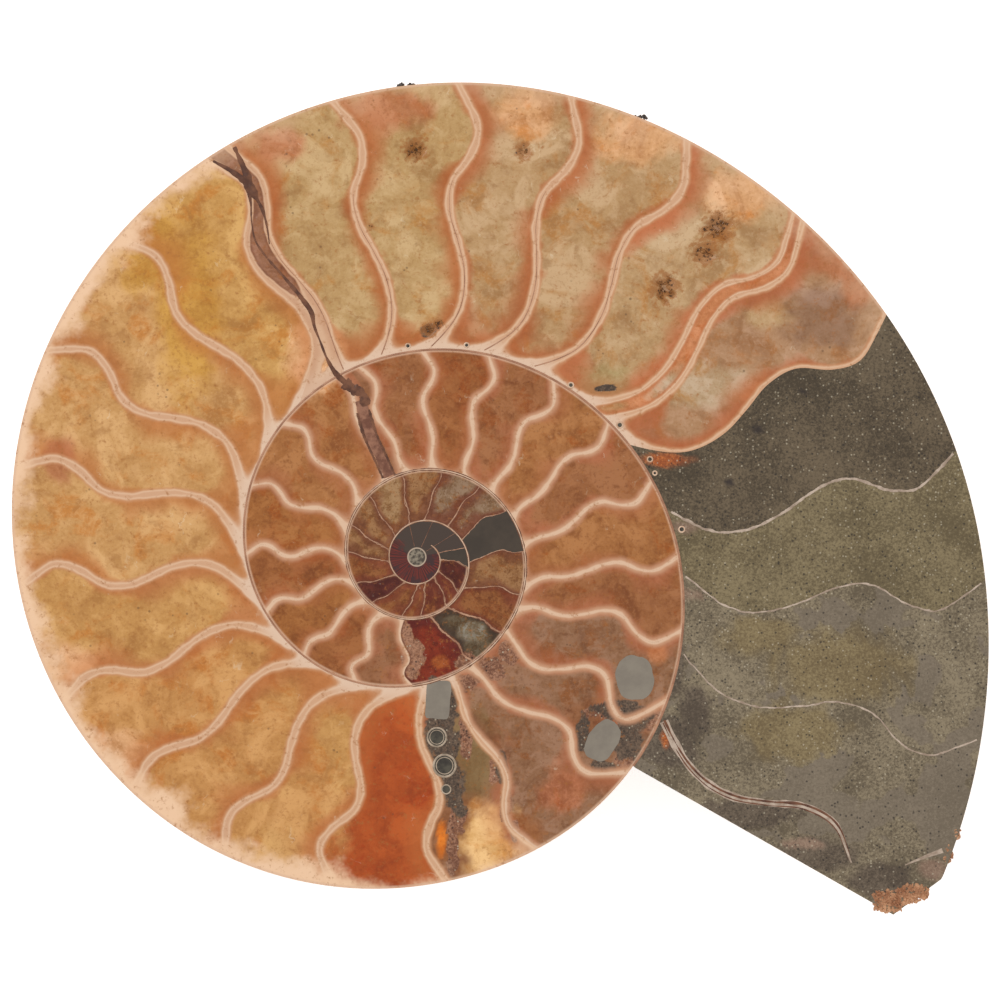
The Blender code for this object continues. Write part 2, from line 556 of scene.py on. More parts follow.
def painted(points, colours):
    """The middle and edge colours at each point, with the local tints over the chamber's own."""
    middle = np.tile(colours[0], (len(points), 1))
    edge = np.tile(colours[1], (len(points), 1))
    for seed, (place, reach, name) in enumerate(TINTS, start=FIRST_TINT_SEED):
        away = ragged_distance(points, place, reach, 0.3, 5.0, seed)
        share = np.clip(2.0 * (1.2 - away), 0.0, 1.0)[:, None]
        middle = middle * (1.0 - share) + np.array(FILLINGS[name][0]) * share
        edge = edge * (1.0 - share) + np.array(FILLINGS[name][1]) * share
    return middle, edge


# Where coarse pinkish grains fill the gaps instead: place in mm, reach along x and y.
GRANULAR_SPOTS = [
    ((-0.5, -12.4), (1.5, 2.6)),
    ((-1.3, -9.8), (0.9, 2.2)),
    ((6.4, -12.9), (1.9, 1.3)),
    ((5.6, -15.4), (2.6, 1.3)),
    ((8.8, -13.8), (2.4, 1.6)),
    ((11.4, -11.6), (1.6, 1.6)),
    ((9.6, -26.4), (0.9, 1.8)),
    ((10.9, -30.2), (0.8, 2.6)),
    ((12.0, -33.6), (0.6, 1.6)),
    ((6.0, -22.0), (0.9, 3.4)),
    ((5.0, -31.8), (1.3, 2.2)),
    ((4.4, -36.0), (0.8, 4.4)),
    ((23.0, -19.0), (3.0, 0.9)),
    ((29.2, -20.2), (1.2, 1.6)),
    ((20.6, -21.2), (0.6, 2.2)),
    ((25.6, -25.0), (1.6, 1.0)),
]

# Where dark hardened mud shows through the chambers: place in mm, reach along x and y.
MATRIX_SPOTS = [
    ((2.8, -17.4), (2.5, 3.0)),
    ((3.0, -22.6), (2.4, 4.0)),
    ((4.2, -27.6), (1.9, 3.0)),
    ((5.2, -30.8), (1.0, 1.2)),
    ((10.4, -25.8), (0.8, 2.2)),
    ((1.3, 27.8), (1.2, 0.9)),
    ((23.2, 20.7), (1.4, 0.5)),
    ((24.8, -18.7), (3.4, 1.3)),
    ((27.6, -19.6), (1.6, 1.5)),
    ((25.9, -22.4), (2.3, 2.8)),
    ((22.8, -25.8), (1.8, 1.0)),
    ((20.4, -21.6), (0.9, 2.8)),
]


def share_of_spots(points, spots):
    """How much of each point lies in uneven spots."""
    share = np.zeros(len(points))
    for seed, (place, reach) in enumerate(spots, start=FIRST_SPOT_SEED):
        ragged = ragged_distance(points, place, reach, 0.25, 2.2, seed)
        share = np.maximum(share, np.clip(1.6 * (1.2 - ragged), 0.0, 1.0))
    return share


# ---------------------------------------------------------------- node helpers


# The mix node's sockets share their names, so the ones for colours are found by their numbers.
MIX_FIRST = 6
MIX_SECOND = 7
MIX_RESULT = 2


class Nodes:
    """Short ways to add nodes to a material or a group."""

    def __init__(self, tree):
        self.tree = tree

    def put(self, socket, value):
        """Links another socket to this one, or sets its value."""
        if isinstance(value, bpy.types.NodeSocket):
            self.tree.links.new(value, socket)
        else:
            socket.default_value = value

    def node(self, kind, settings=None, **inputs):
        """A node with its settings, and its inputs by name with _ for each space."""
        made = self.tree.nodes.new(kind)
        for name, value in (settings or {}).items():
            setattr(made, name, value)
        for name, value in inputs.items():
            self.put(made.inputs[name.replace("_", " ")], value)
        return made

    def math(self, operation, first, second=0.0, third=0.0):
        made = self.node("ShaderNodeMath", {"operation": operation})
        for socket, value in zip(made.inputs, (first, second, third)):
            self.put(socket, value)
        return made.outputs[0]

    def ramp(self, value, low, high, start=0.0, end=1.0):
        """The value carried smoothly from low..high to start..end, and held there outside it."""
        made = self.node("ShaderNodeMapRange", {"interpolation_type": "SMOOTHSTEP"})
        labels = ("Value", "From Min", "From Max", "To Min", "To Max")
        for label, number in zip(labels, (value, low, high, start, end)):
            self.put(made.inputs[label], number)
        return made.outputs[0]

    def mix(self, share, first, second, blend="MIX"):
        made = self.node("ShaderNodeMix", {"data_type": "RGBA", "blend_type": blend})
        self.put(made.inputs["Factor"], share)
        self.put(made.inputs[MIX_FIRST], first)
        self.put(made.inputs[MIX_SECOND], second)
        return made.outputs[MIX_RESULT]

    def noise(self, scale, detail=4.0, roughness=0.55, vector=None, distortion=0.0):
        """Smooth noise around 0.5, with about so many waves to one unit of its vector."""
        made = self.node("ShaderNodeTexNoise", Scale=scale, Detail=detail, Roughness=roughness)
        self.put(made.inputs["Distortion"], distortion)
        self.put(made.inputs["Vector"], vector or self.place())
        return made.outputs[0]

    def cells(self, scale, feature="F1", vector=None):
        """Cells round scattered points, about so many to one unit of its vector."""
        made = self.node("ShaderNodeTexVoronoi", {"feature": feature}, Scale=scale)
        self.put(made.inputs["Vector"], vector or self.place())
        return made

    def place(self):
        return self.node("ShaderNodeTexCoord").outputs["Object"]

    def attribute(self, name, output="Fac"):
        made = self.node("ShaderNodeAttribute", {"attribute_name": name})
        return made.outputs[output]

    def shift(self, vector, x, y=0.0):
        """The vector moved sideways, by one value everywhere or by a pattern."""
        made = self.node("ShaderNodeVectorMath", {"operation": "ADD"})
        self.put(made.inputs[0], vector)
        self.put(made.inputs[1], self.node("ShaderNodeCombineXYZ", X=x, Y=y).outputs[0])
        return made.outputs[0]

    def scaled(self, vector, x, y, z):
        made = self.node("ShaderNodeVectorMath", {"operation": "MULTIPLY"})
        self.put(made.inputs[0], vector)
        made.inputs[1].default_value = (x, y, z)
        return made.outputs[0]

    def group(self, group, **inputs):
        """The outputs of a group placed in this tree with its own values."""
        made = self.tree.nodes.new("ShaderNodeGroup")
        made.node_tree = group
        for name, value in inputs.items():
            self.put(made.inputs[name.replace("_", " ")], value)
        return made.outputs


def new_group(name, inputs, outputs):
    """A shader node group with its sockets, and its input and output nodes' sockets."""
    tree = bpy.data.node_groups.new(name, "ShaderNodeTree")
    kinds = {"value": "NodeSocketFloat", "colour": "NodeSocketColor"}
    for label, kind, default in inputs:
        socket = tree.interface.new_socket(label, in_out="INPUT", socket_type=kinds[kind])
        socket.default_value = default
    for label, kind in outputs:
        tree.interface.new_socket(label, in_out="OUTPUT", socket_type=kinds[kind])
    nodes = Nodes(tree)
    given = nodes.node("NodeGroupInput").outputs
    result = nodes.node("NodeGroupOutput").inputs
    return tree, nodes, given, result


def new_material(name, roughness, coat=0.0):
    """A polished material, its node helper and its shader."""
    material = bpy.data.materials.new(name)
    material.use_nodes = True
    nodes = Nodes(material.node_tree)
    shader = material.node_tree.nodes["Principled BSDF"]
    shader.inputs["Roughness"].default_value = roughness
    shader.inputs["Coat Weight"].default_value = coat
    shader.inputs["Coat Roughness"].default_value = 0.08
    shader.inputs["Specular IOR Level"].default_value = 0.3
    return material, nodes, shader


def bump(nodes, shader, height, distance, strength):
    """Fine relief on the shader's normal."""
    made = nodes.node("ShaderNodeBump", Height=height)
    made.inputs["Distance"].default_value = distance
    made.inputs["Strength"].default_value = strength
    nodes.put(shader.inputs["Normal"], made.outputs[0])


# ---------------------------------------------------------------- shared finishes


BEND = 0.004  # how far the crystal faces are bent by the clouds
PALE_OF_COLOUR = (1.28, 1.42, 1.75, 1.0)
WARM_OF_COLOUR = (0.98, 0.72, 0.42, 1.0)
DARK_OF_COLOUR = (0.68, 0.56, 0.45, 1.0)


def crystal_group():
    """Clear calcite seen through a polished face: cloudy patches, crystal faces, flecks, specks."""
    tree, nodes, given, result = new_group(
        "crystal_depth",
        [
            ("Colour", "colour", (0.8, 0.6, 0.4, 1.0)),
            ("Seed", "value", 0.0),
            ("Cloudiness", "value", 1.0),
            ("Specks", "value", 0.5),
            ("Fineness", "value", 1.0),
            ("Crackle", "value", 0.12),
        ],
        [("Colour", "colour"), ("Height", "value")],
    )
    place = nodes.shift(nodes.place(), nodes.math("MULTIPLY", given["Seed"], 0.031))
    finer = nodes.node("ShaderNodeVectorMath", {"operation": "SCALE"}, Scale=given["Fineness"])
    nodes.put(finer.inputs[0], place)
    place = finer.outputs[0]
    clouds = nodes.noise(130.0, 6.0, 0.62, place, 0.8)
    patches = nodes.noise(430.0, 5.0, 0.6, place, 0.5)
    warmth = nodes.noise(210.0, 5.0, 0.62, nodes.shift(place, 0.5), 0.6)
    grain = nodes.noise(1900.0, 4.0, 0.7, place)
    pale = nodes.mix(1.0, given["Colour"], PALE_OF_COLOUR, "MULTIPLY")
    warm = nodes.mix(1.0, given["Colour"], WARM_OF_COLOUR, "MULTIPLY")
    dark = nodes.mix(1.0, given["Colour"], DARK_OF_COLOUR, "MULTIPLY")

    sideways = nodes.math("MULTIPLY", patches, BEND)
    bent = nodes.shift(place, sideways, nodes.math("MULTIPLY", clouds, BEND))
    facets = nodes.cells(520.0, "F1", bent)
    tone = nodes.node("ShaderNodeSeparateColor", Color=facets.outputs["Color"]).outputs[0]
    # Each layer: the pattern it follows, between which values it comes in, its most, and its tone.
    layers = [
        (warmth, 0.50, 0.64, 0.9, warm),
        (clouds, 0.49, 0.62, 0.95, pale),
        (clouds, 0.46, 0.32, 0.7, dark),
        (patches, 0.51, 0.66, 0.5, pale),
        (patches, 0.47, 0.31, 0.55, dark),
        (grain, 0.50, 0.66, 0.3, pale),
        (grain, 0.47, 0.34, 0.35, dark),
        (tone, 0.72, 1.0, 0.22, pale),
        (tone, 0.2, 0.0, 0.18, dark),
    ]
    colour = given["Colour"]
    for pattern, low, high, most, layer in layers:
        full = nodes.ramp(pattern, low, high, 0.0, most)
        colour = nodes.mix(nodes.math("MULTIPLY", full, given["Cloudiness"]), colour, layer)
    cracks = nodes.cells(420.0, "DISTANCE_TO_EDGE", bent).outputs["Distance"]
    line = nodes.math("MULTIPLY", nodes.ramp(cracks, 0.025, 0.0), nodes.ramp(warmth, 0.54, 0.62))
    colour = nodes.mix(nodes.math("MULTIPLY", line, given["Crackle"]), colour, pale)
    streaks = nodes.noise(900.0, 3.0, 0.6, nodes.scaled(bent, 1.0, 0.35, 1.0), 1.2)
    fleck = nodes.math("MULTIPLY", nodes.ramp(streaks, 0.66, 0.72), nodes.ramp(clouds, 0.42, 0.55))
    colour = nodes.mix(nodes.math("MULTIPLY", fleck, 0.22), colour, srgb(248, 236, 208))
    dots = nodes.cells(1100.0, "F1", place).outputs["Distance"]
    where = nodes.ramp(nodes.noise(240.0, 2.0, 0.5, place), 0.6, 0.68)
    speck = nodes.math("MULTIPLY", nodes.ramp(dots, 0.22, 0.12), where)
    speck = nodes.math("MULTIPLY", speck, given["Specks"])
    colour = nodes.mix(speck, colour, srgb(84, 60, 42))
    nodes.put(result["Colour"], colour)
    nodes.put(result["Height"], nodes.math("MULTIPLY", tone, 0.3))
    return tree


def shell_group():
    """The cream band of shell beside each chamber wall, with the iron stain around it."""
    tree, nodes, given, result = new_group(
        "shell_band",
        [
            ("Filling", "colour", (0.8, 0.6, 0.4, 1.0)),
            ("Stain", "colour", (0.8, 0.5, 0.3, 1.0)),
            ("Fringe", "colour", (0.8, 0.6, 0.5, 1.0)),
            ("Shell", "colour", CREAM),
            ("Core", "colour", CREAM),
            ("Gap", "value", 1.0),
            ("Band", "value", 0.5),
            ("Softness", "value", 0.25),
            ("Fringe Width", "value", 0.6),
            ("Stain Reach", "value", 2.2),
        ],
        [("Colour", "colour")],
    )
    drift = nodes.math("SUBTRACT", nodes.noise(190.0, 4.0, 0.55), 0.5)
    reach = nodes.math("MULTIPLY_ADD", drift, 5.0, given["Stain Reach"])
    stain = nodes.math("DIVIDE", given["Gap"], nodes.math("MAXIMUM", reach, 0.5))
    colour = nodes.mix(nodes.ramp(stain, 0.3, 1.6), given["Stain"], given["Filling"])
    fine = nodes.math("SUBTRACT", nodes.noise(800.0, 3.0, 0.5), 0.5)
    gap = nodes.math("MULTIPLY_ADD", fine, 0.22, given["Gap"])
    uneven = nodes.math("SUBTRACT", nodes.noise(380.0, 2.0, 0.5), 0.5)
    swell = nodes.math("MULTIPLY", uneven, given["Band"])
    gap = nodes.math("MULTIPLY_ADD", swell, 1.3, gap)

    def band(inner, width):
        made = nodes.node("ShaderNodeMapRange", {"interpolation_type": "SMOOTHSTEP"})
        nodes.put(made.inputs["Value"], gap)
        nodes.put(made.inputs["From Min"], nodes.math("ADD", inner, width))
        nodes.put(made.inputs["From Max"], inner)
        return made.outputs[0]

    fringe = nodes.math("MULTIPLY", band(given["Band"], given["Fringe Width"]), 0.75)
    colour = nodes.mix(fringe, colour, given["Fringe"])
    start = nodes.math("SUBTRACT", given["Band"], given["Softness"])
    twice = nodes.math("MULTIPLY", given["Softness"], 2.0)
    core = nodes.ramp(nodes.math("DIVIDE", gap, given["Band"]), 0.85, 0.25, 0.0, 0.9)
    shell = nodes.mix(core, given["Shell"], given["Core"])
    colour = nodes.mix(band(start, twice), colour, shell)
    nodes.put(result["Colour"], colour)
    return tree


def mud_group():
    """Hardened mud: fine grains, pale shell grit and darker patches."""
    tree, nodes, given, result = new_group(
        "hard_mud",
        [
            ("Dark", "colour", srgb(84, 72, 60)),
            ("Pale", "colour", srgb(120, 108, 88)),
            ("Grit", "value", 0.5),
            ("Patchiness", "value", 0.5),
        ],
        [("Colour", "colour"), ("Height", "value")],
    )
    patches = nodes.noise(120.0, 5.0, 0.6)
    grains = nodes.noise(3600.0, 3.0, 0.75)
    uneven = nodes.math("SUBTRACT", patches, 0.5)
    share = nodes.math("MULTIPLY_ADD", uneven, given["Patchiness"], grains)
    colour = nodes.mix(nodes.ramp(share, 0.35, 0.68), given["Dark"], given["Pale"])
    dots = nodes.cells(2900.0)
    away = dots.outputs["Distance"]
    tone = nodes.node("ShaderNodeSeparateColor", Color=dots.outputs["Color"]).outputs[0]
    bright = nodes.math("MULTIPLY", nodes.ramp(tone, 0.86, 0.94), nodes.ramp(away, 0.42, 0.2))
    colour = nodes.mix(nodes.math("MULTIPLY", bright, given["Grit"]), colour, srgb(196, 184, 160))
    dull = nodes.math("MULTIPLY", nodes.ramp(tone, 0.14, 0.06), nodes.ramp(away, 0.5, 0.25))
    colour = nodes.mix(nodes.math("MULTIPLY", dull, 0.75), colour, srgb(40, 34, 30))
    nodes.put(result["Colour"], colour)
    nodes.put(result["Height"], grains)
    return tree


def rind_group():
    """The natural side: weathered shell and stone, tan to brown, with pale scuffs and dark pits."""
    tree, nodes, given, result = new_group(
        "rind", [("Depth", "value", 5.0)], [("Colour", "colour"), ("Height", "value")]
    )
    broad = nodes.noise(55.0, 5.0, 0.6)
    fine = nodes.noise(420.0, 5.0, 0.65)
    colour = nodes.mix(nodes.ramp(broad, 0.36, 0.64), srgb(132, 84, 54), srgb(196, 148, 100))
    colour = nodes.mix(nodes.ramp(fine, 0.45, 0.75, 0.0, 0.7), colour, srgb(222, 188, 142))
    stain = nodes.noise(90.0, 4.0, 0.6, nodes.shift(nodes.place(), 0.4))
    colour = nodes.mix(nodes.ramp(stain, 0.56, 0.72, 0.0, 0.8), colour, srgb(112, 58, 34))
    pits = nodes.ramp(nodes.cells(700.0).outputs["Distance"], 0.22, 0.08, 0.0, 0.6)
    colour = nodes.mix(pits, colour, srgb(74, 48, 34))
    rim = nodes.ramp(given["Depth"], 2.6, 0.4)
    colour = nodes.mix(nodes.math("MULTIPLY", rim, 0.4), colour, srgb(206, 166, 128))
    nodes.put(result["Colour"], colour)
    sunk = nodes.math("MULTIPLY", pits, -0.5)
    nodes.put(result["Height"], nodes.math("MULTIPLY_ADD", fine, 0.6, sunk))
    return tree


CRYSTAL = crystal_group()
SHELL_BAND = shell_group()
MUD = mud_group()
RIND = rind_group()


def with_rind(nodes, colour):
    """The colour of a block's top, with the weathered rind on its upright sides."""
    side = nodes.attribute("side")
    depth = nodes.math("MULTIPLY", side, FILLING_DEPTH / MM)
    rind = nodes.group(RIND, Depth=depth)
    return nodes.mix(nodes.ramp(side, 0.02, 0.2), colour, rind["Colour"])


class Finish:
    """How one stretch of calcite looks beside its walls: widths in mm, colours, and its texture."""

    def __init__(self, band, softness, fringe, fringe_width, stain, shell, core, foot, fineness,
                 cloudiness=1.0, crackle=0.2):
        self.band = band
        self.softness = softness
        self.fringe = fringe
        self.fringe_width = fringe_width
        self.stain = stain
        self.shell = shell
        self.core = core
        self.foot = foot
        self.fineness = fineness
        self.cloudiness = cloudiness
        self.crackle = crackle


OUTER = Finish(
    band=0.42,
    softness=0.16,
    fringe=srgb(206, 150, 108),
    fringe_width=0.45,
    stain=1.0,
    shell=CREAM,
    core=srgb(212, 164, 128),
    foot=0.9,
    fineness=1.0,
)
SECOND = Finish(
    band=0.38,
    softness=0.3,
    fringe=srgb(194, 138, 104),
    fringe_width=0.6,
    stain=0.7,
    shell=srgb(208, 160, 126),
    core=srgb(228, 192, 162),
    foot=0.0,
    fineness=1.3,
    cloudiness=1.5,
    crackle=0.45,
)
YOUNG = Finish(
    band=0.03,
    softness=0.05,
    fringe=srgb(104, 54, 34),
    fringe_width=0.3,
    stain=0.5,
    shell=srgb(186, 146, 118),
    core=srgb(186, 146, 118),
    foot=0.0,
    fineness=2.6,
    cloudiness=2.7,
    crackle=1.0,
)
VEIN = Finish(
    band=0.28,
    softness=0.12,
    fringe=srgb(196, 146, 112),
    fringe_width=0.15,
    stain=0.1,
    shell=srgb(220, 178, 144),
    core=srgb(206, 158, 124),
    foot=0.5,
    fineness=2.5,
)
DOUBLE_WALL = Finish(
    band=0.14,
    softness=0.12,
    fringe=srgb(208, 150, 110),
    fringe_width=0.25,
    stain=0.0,
    shell=CREAM,
    core=CREAM,
    foot=0.6,
    fineness=2.0,
)
VEIN_NARROWS = (7.0, 14.0)  # mm from the inner wall where the vein widens from a crack
VEIN_CRACK_BAND = 1.3
FOOT_CREAM = srgb(230, 198, 172)
RIM_GLOW = srgb(244, 203, 166)
RIM_EDGE = srgb(226, 186, 156)
POCKET_BROWN = srgb(164, 102, 48)
POCKET_DARK = srgb(72, 48, 32)


def with_rim_glow(nodes, colour):
    """The colour with the pale ragged glow where light comes through the outer rim."""
    rim_gap = nodes.attribute("rim_gap")
    uneven = nodes.math("SUBTRACT", nodes.noise(120.0, 5.0, 0.62), 0.52)
    glow = nodes.ramp(nodes.math("MULTIPLY_ADD", uneven, -13.0, rim_gap), 3.4, 0.2)
    glow = nodes.math("MULTIPLY", glow, nodes.attribute("rim_glow"))
    colour = nodes.mix(glow, colour, RIM_GLOW)
    edge = nodes.ramp(rim_gap, 0.45, 0.15)
    return nodes.mix(nodes.math("MULTIPLY", edge, 0.7), colour, RIM_EDGE)


def with_pockets(nodes, colour, pocket):
    """The colour with the brown stain and the dark lining of the open pockets."""
    spots = nodes.noise(1500.0, 4.0, 0.7)
    spotted = nodes.math("MULTIPLY_ADD", nodes.math("SUBTRACT", spots, 0.5), 3.0, pocket)
    brown = nodes.ramp(spotted, 0.1, 0.8, 0.0, 0.75)
    colour = nodes.mix(brown, colour, POCKET_BROWN)
    return nodes.mix(nodes.ramp(spotted, 1.0, 1.35, 0.0, 0.9), colour, POCKET_DARK)


def calcite_material(name, finish):
    """A filled chamber: clear calcite, stained along its walls, with its share of shell and mud."""
    material, nodes, shader = new_material(name, roughness=0.22)
    crystal = nodes.group(
        CRYSTAL,
        Colour=nodes.attribute("middle_colour", "Color"),
        Seed=nodes.attribute("seed"),
        Fineness=finish.fineness,
        Cloudiness=finish.cloudiness,
        Crackle=finish.crackle,
    )
    stained = nodes.group(
        CRYSTAL,
        Colour=nodes.attribute("edge_colour", "Color"),
        Seed=nodes.attribute("seed"),
        Cloudiness=0.45 * finish.cloudiness,
        Specks=0.0,
        Fineness=finish.fineness,
    )
    mud = nodes.group(MUD, Dark=srgb(72, 58, 48), Pale=srgb(118, 96, 78), Grit=0.6)
    grains = nodes.group(MUD, Dark=srgb(112, 70, 50), Pale=srgb(176, 128, 100), Grit=0.7)
    drift = nodes.math("SUBTRACT", nodes.noise(600.0, 4.0, 0.6), 0.5)
    muddy = nodes.ramp(nodes.math("ADD", nodes.attribute("matrix"), drift), 0.3, 0.65)
    grainy = nodes.ramp(nodes.math("ADD", nodes.attribute("granular"), drift), 0.35, 0.6)

    def overlaid(colour):
        with_grains = nodes.mix(grainy, colour, grains["Colour"])
        return nodes.mix(muddy, with_grains, mud["Colour"])

    inner_gap = nodes.attribute("inner_gap")
    foot = nodes.ramp(inner_gap, 2.8, 0.3, 0.0, finish.foot)
    band = finish.band
    if finish is VEIN:
        band = nodes.ramp(inner_gap, *VEIN_NARROWS, VEIN_CRACK_BAND, finish.band)
    walls = nodes.group(
        SHELL_BAND,
        Filling=overlaid(crystal["Colour"]),
        Stain=overlaid(stained["Colour"]),
        Fringe=finish.fringe,
        Shell=nodes.mix(foot, finish.shell, FOOT_CREAM),
        Core=nodes.mix(foot, finish.core, FOOT_CREAM),
        Gap=nodes.attribute("shell_gap"),
        Band=band,
        Softness=finish.softness,
        Fringe_Width=finish.fringe_width,
        Stain_Reach=nodes.math("MULTIPLY", nodes.attribute("stain_reach"), finish.stain),
    )
    pocket = nodes.attribute("pocket")
    colour = with_pockets(nodes, with_rim_glow(nodes, walls["Colour"]), pocket)
    nodes.put(shader.inputs["Base Color"], with_rind(nodes, colour))
    nodes.put(shader.inputs["Roughness"], nodes.ramp(pocket, 0.5, 1.0, 0.22, 0.6))
    bump(nodes, shader, crystal["Height"], distance=0.00004, strength=0.15)
    return material


# ---------------------------------------------------------------- inner whorls

# The third whorl's chambers, from the small end: turn and lean of the wall behind each, how far it
# bows, and the filling.
YOUNG_CHAMBERS = [
    (-911.0, 0.0, 4.0, "slate"),
    (-888.0, -6.0, 4.0, "wine"),
    (-859.0, -8.0, 3.0, "orange_red"),
    (-841.0, -10.0, 2.0, "orange_red"),
    (-814.0, -15.0, 0.0, "orange"),
    (-795.8, -18.0, 0.0, "orange"),
    (-765.3, -20.0, 0.0, "wine"),
    (-743.3, -17.0, 0.0, "orange"),
    (-715.7, -14.0, 0.0, "straw"),
    (-694.0, -12.0, 0.0, "straw"),
    (-668.0, -8.0, 0.0, "sand"),
    (-640.3, -2.5, 0.0, "straw"),
    (-614.0, -5.0, 0.0, "grey_pink"),
    (-588.5, 3.5, 2.5, "grey_pink"),
    (-567.3, 7.0, 5.7, "slate"),
    (-542.9, 8.8, 5.0, "straw"),
    (-520.2, 14.0, 5.0, "orange"),
    (-498.3, 17.0, 4.0, "grey_green"),
    (-478.2, 15.5, 2.0, "red"),
]
THICK_WALLS_FROM = -500.0
NUCLEUS_START = -1271.0
NUCLEUS_COLUMNS = 97
NUCLEUS_RINGS = 25
NUCLEUS_CENTRE = 0.015  # the innermost ring's share of the radius
RAY_TURNS = (-1003.0, -966.0, -932.0)  # fine walls in the grey filling


def young_septa():
    """The walls of the young chambers, and the one that closes the last of them."""
    septa = [Septum(turn, wave=0.5, lean=lean, arch=arch) for turn, lean, arch, _ in YOUNG_CHAMBERS]
    septa[0] = Septum(YOUNG_CHAMBERS[0][0], wave=0.0)
    return septa + [CHAMBERS[0][0]]


def nucleus(blocks):
    """The first chambers, seen as a radial ring of dark red around the clear first one."""
    turns = np.linspace(NUCLEUS_START, YOUNG_CHAMBERS[0][0], NUCLEUS_COLUMNS)[:, None]
    shares = np.linspace(NUCLEUS_CENTRE, 1.0, NUCLEUS_RINGS)[None, :]
    radii = wall_radius(turns) * shares
    grid = polar(np.broadcast_to(turns, radii.shape), radii)
    blocks.lay(grid, from_axis=radii.ravel(), turn=np.broadcast_to(turns, radii.shape).ravel())


# ---------------------------------------------------------------- the body chamber's mud

# The mud in each stretch of the body chamber: dark and pale grains, and how far smooth grey
# blobs take it over.
MUDS = {
    "mud_dark": (srgb(70, 58, 42), srgb(112, 96, 74), 0.0),
    "mud_olive": (srgb(98, 84, 58), srgb(140, 124, 92), 0.0),
    "mud_mixed": (srgb(98, 85, 66), srgb(146, 131, 106), 0.98),
}
MUD_GRAIN = 0.7  # mm between the points across a stretch
MUD_RADIUS = 60.0  # mm from the axis, where that spacing is measured
MUD_POINTS = 60

# Local colours in the mud: place in mm, reach along x and y, dark and pale grains, blobs.
MUD_TINTS = [
    ((31.4, -12.5), (1.6, 4.4), "murk"),
    ((31.0, -23.0), (3.8, 3.4), "murk"),
    ((34.2, -18.6), (2.0, 2.6), "murk"),
    ((41.0, -31.4), (6.0, 1.8), "murk"),
    ((49.0, -36.4), (5.0, 2.0), "murk"),
    ((57.0, -39.6), (4.0, 2.0), "murk"),
    ((30.6, -22.6), (0.5, 1.1), "rust"),
    ((30.4, 11.9), (3.4, 0.8), "rust"),
    ((33.0, 3.6), (1.6, 0.7), "blush"),
    ((33.4, -4.6), (1.6, 0.6), "blush"),
    ((47.5, -35.2), (2.6, 0.6), "blush"),
    ((63.4, -38.2), (1.8, 1.2), "blush"),
    ((41.8, 15.8), (0.8, 0.5), "black"),
    ((38.3, 9.2), (0.5, 0.5), "black"),
    ((47.6, 20.4), (0.4, 0.5), "black"),
    ((51.5, 12.2), (0.4, 0.3), "black"),
    ((42.0, -9.6), (4.6, 2.2), "khaki"),
    ((52.0, -13.5), (8.0, 4.2), "khaki"),
    ((46.0, -21.5), (6.0, 3.4), "khaki"),
]
MUD_COLOURS = {
    "murk": (srgb(80, 67, 54), srgb(116, 101, 84), 0.4),
    "rust": (srgb(146, 72, 32), srgb(204, 118, 58), 0.0),
    "blush": (srgb(128, 102, 84), srgb(156, 130, 110), 0.2),
    "black": (srgb(50, 40, 34), srgb(58, 48, 42), 0.0),
    "khaki": (srgb(112, 94, 64), srgb(146, 128, 92), 0.0),
}


def mud_painted(points, dark, pale, blobs):
    """The mud's two colours and its share of blobs at each point, with the local tints."""
    dark = np.tile(dark, (len(points), 1))
    pale = np.tile(pale, (len(points), 1))
    blobs = np.full(len(points), blobs)
    for seed, (place, reach, name) in enumerate(MUD_TINTS, start=FIRST_MUD_TINT_SEED):
        away = ragged_distance(points, place, reach, 0.3, 4.0, seed)
        share = np.clip(2.5 * (1.2 - away), 0.0, 1.0)
        colours = MUD_COLOURS[name]
        dark = dark * (1.0 - share)[:, None] + np.array(colours[0]) * share[:, None]
        pale = pale * (1.0 - share)[:, None] + np.array(colours[1]) * share[:, None]
        blobs = blobs * (1.0 - share) + colours[2] * share
    return dark, pale, blobs


def four_sided(behind, ahead, inside, outside):
    """A grid filled in between four curves that share their ends."""
    across = len(inside)
    along = len(behind)
    u = np.linspace(0.0, 1.0, across)[:, None, None]
    v = np.linspace(0.0, 1.0, along)[None, :, None]
    sides = (1 - u) * behind[None] + u * ahead[None]
    ends = (1 - v) * inside[:, None] + v * outside[:, None]
    corners = (1 - u) * (1 - v) * behind[0] + (1 - u) * v * behind[-1]
    corners = corners + u * (1 - v) * ahead[0] + u * v * ahead[-1]
    return sides + ends - corners


def resampled(path, count):
    """A path's points moved to even spacing along it."""
    steps = np.hypot(*np.diff(path, axis=0).T)
    places = np.concatenate([[0.0], np.cumsum(steps)])
    wanted = np.linspace(0.0, places[-1], count)
    return np.stack([np.interp(wanted, places, path[:, axis]) for axis in (0, 1)], axis=-1)


def arc(first, last, whorls_in):
    """Points in mm along the outer wall, or along a wall some whorls further in."""
    turns = np.linspace(first, last, MUD_POINTS)
    return polar(turns, wall_radius(turns - 360.0 * whorls_in))


def mud_stretch(behind, ahead):
    """The grid of the mud between two chamber walls."""
    across = max(6, round(math.radians(ahead.turn - behind.turn) * MUD_RADIUS / MUD_GRAIN))
    places = np.linspace(0.0, 1.0, MUD_POINTS)
    shares = np.linspace(0.0, 1.0, across + 1)[:, None]
    turns = behind.turns(places) * (1.0 - shares) + ahead.turns(places) * shares
    return across_coil(turns, np.broadcast_to(places, turns.shape))


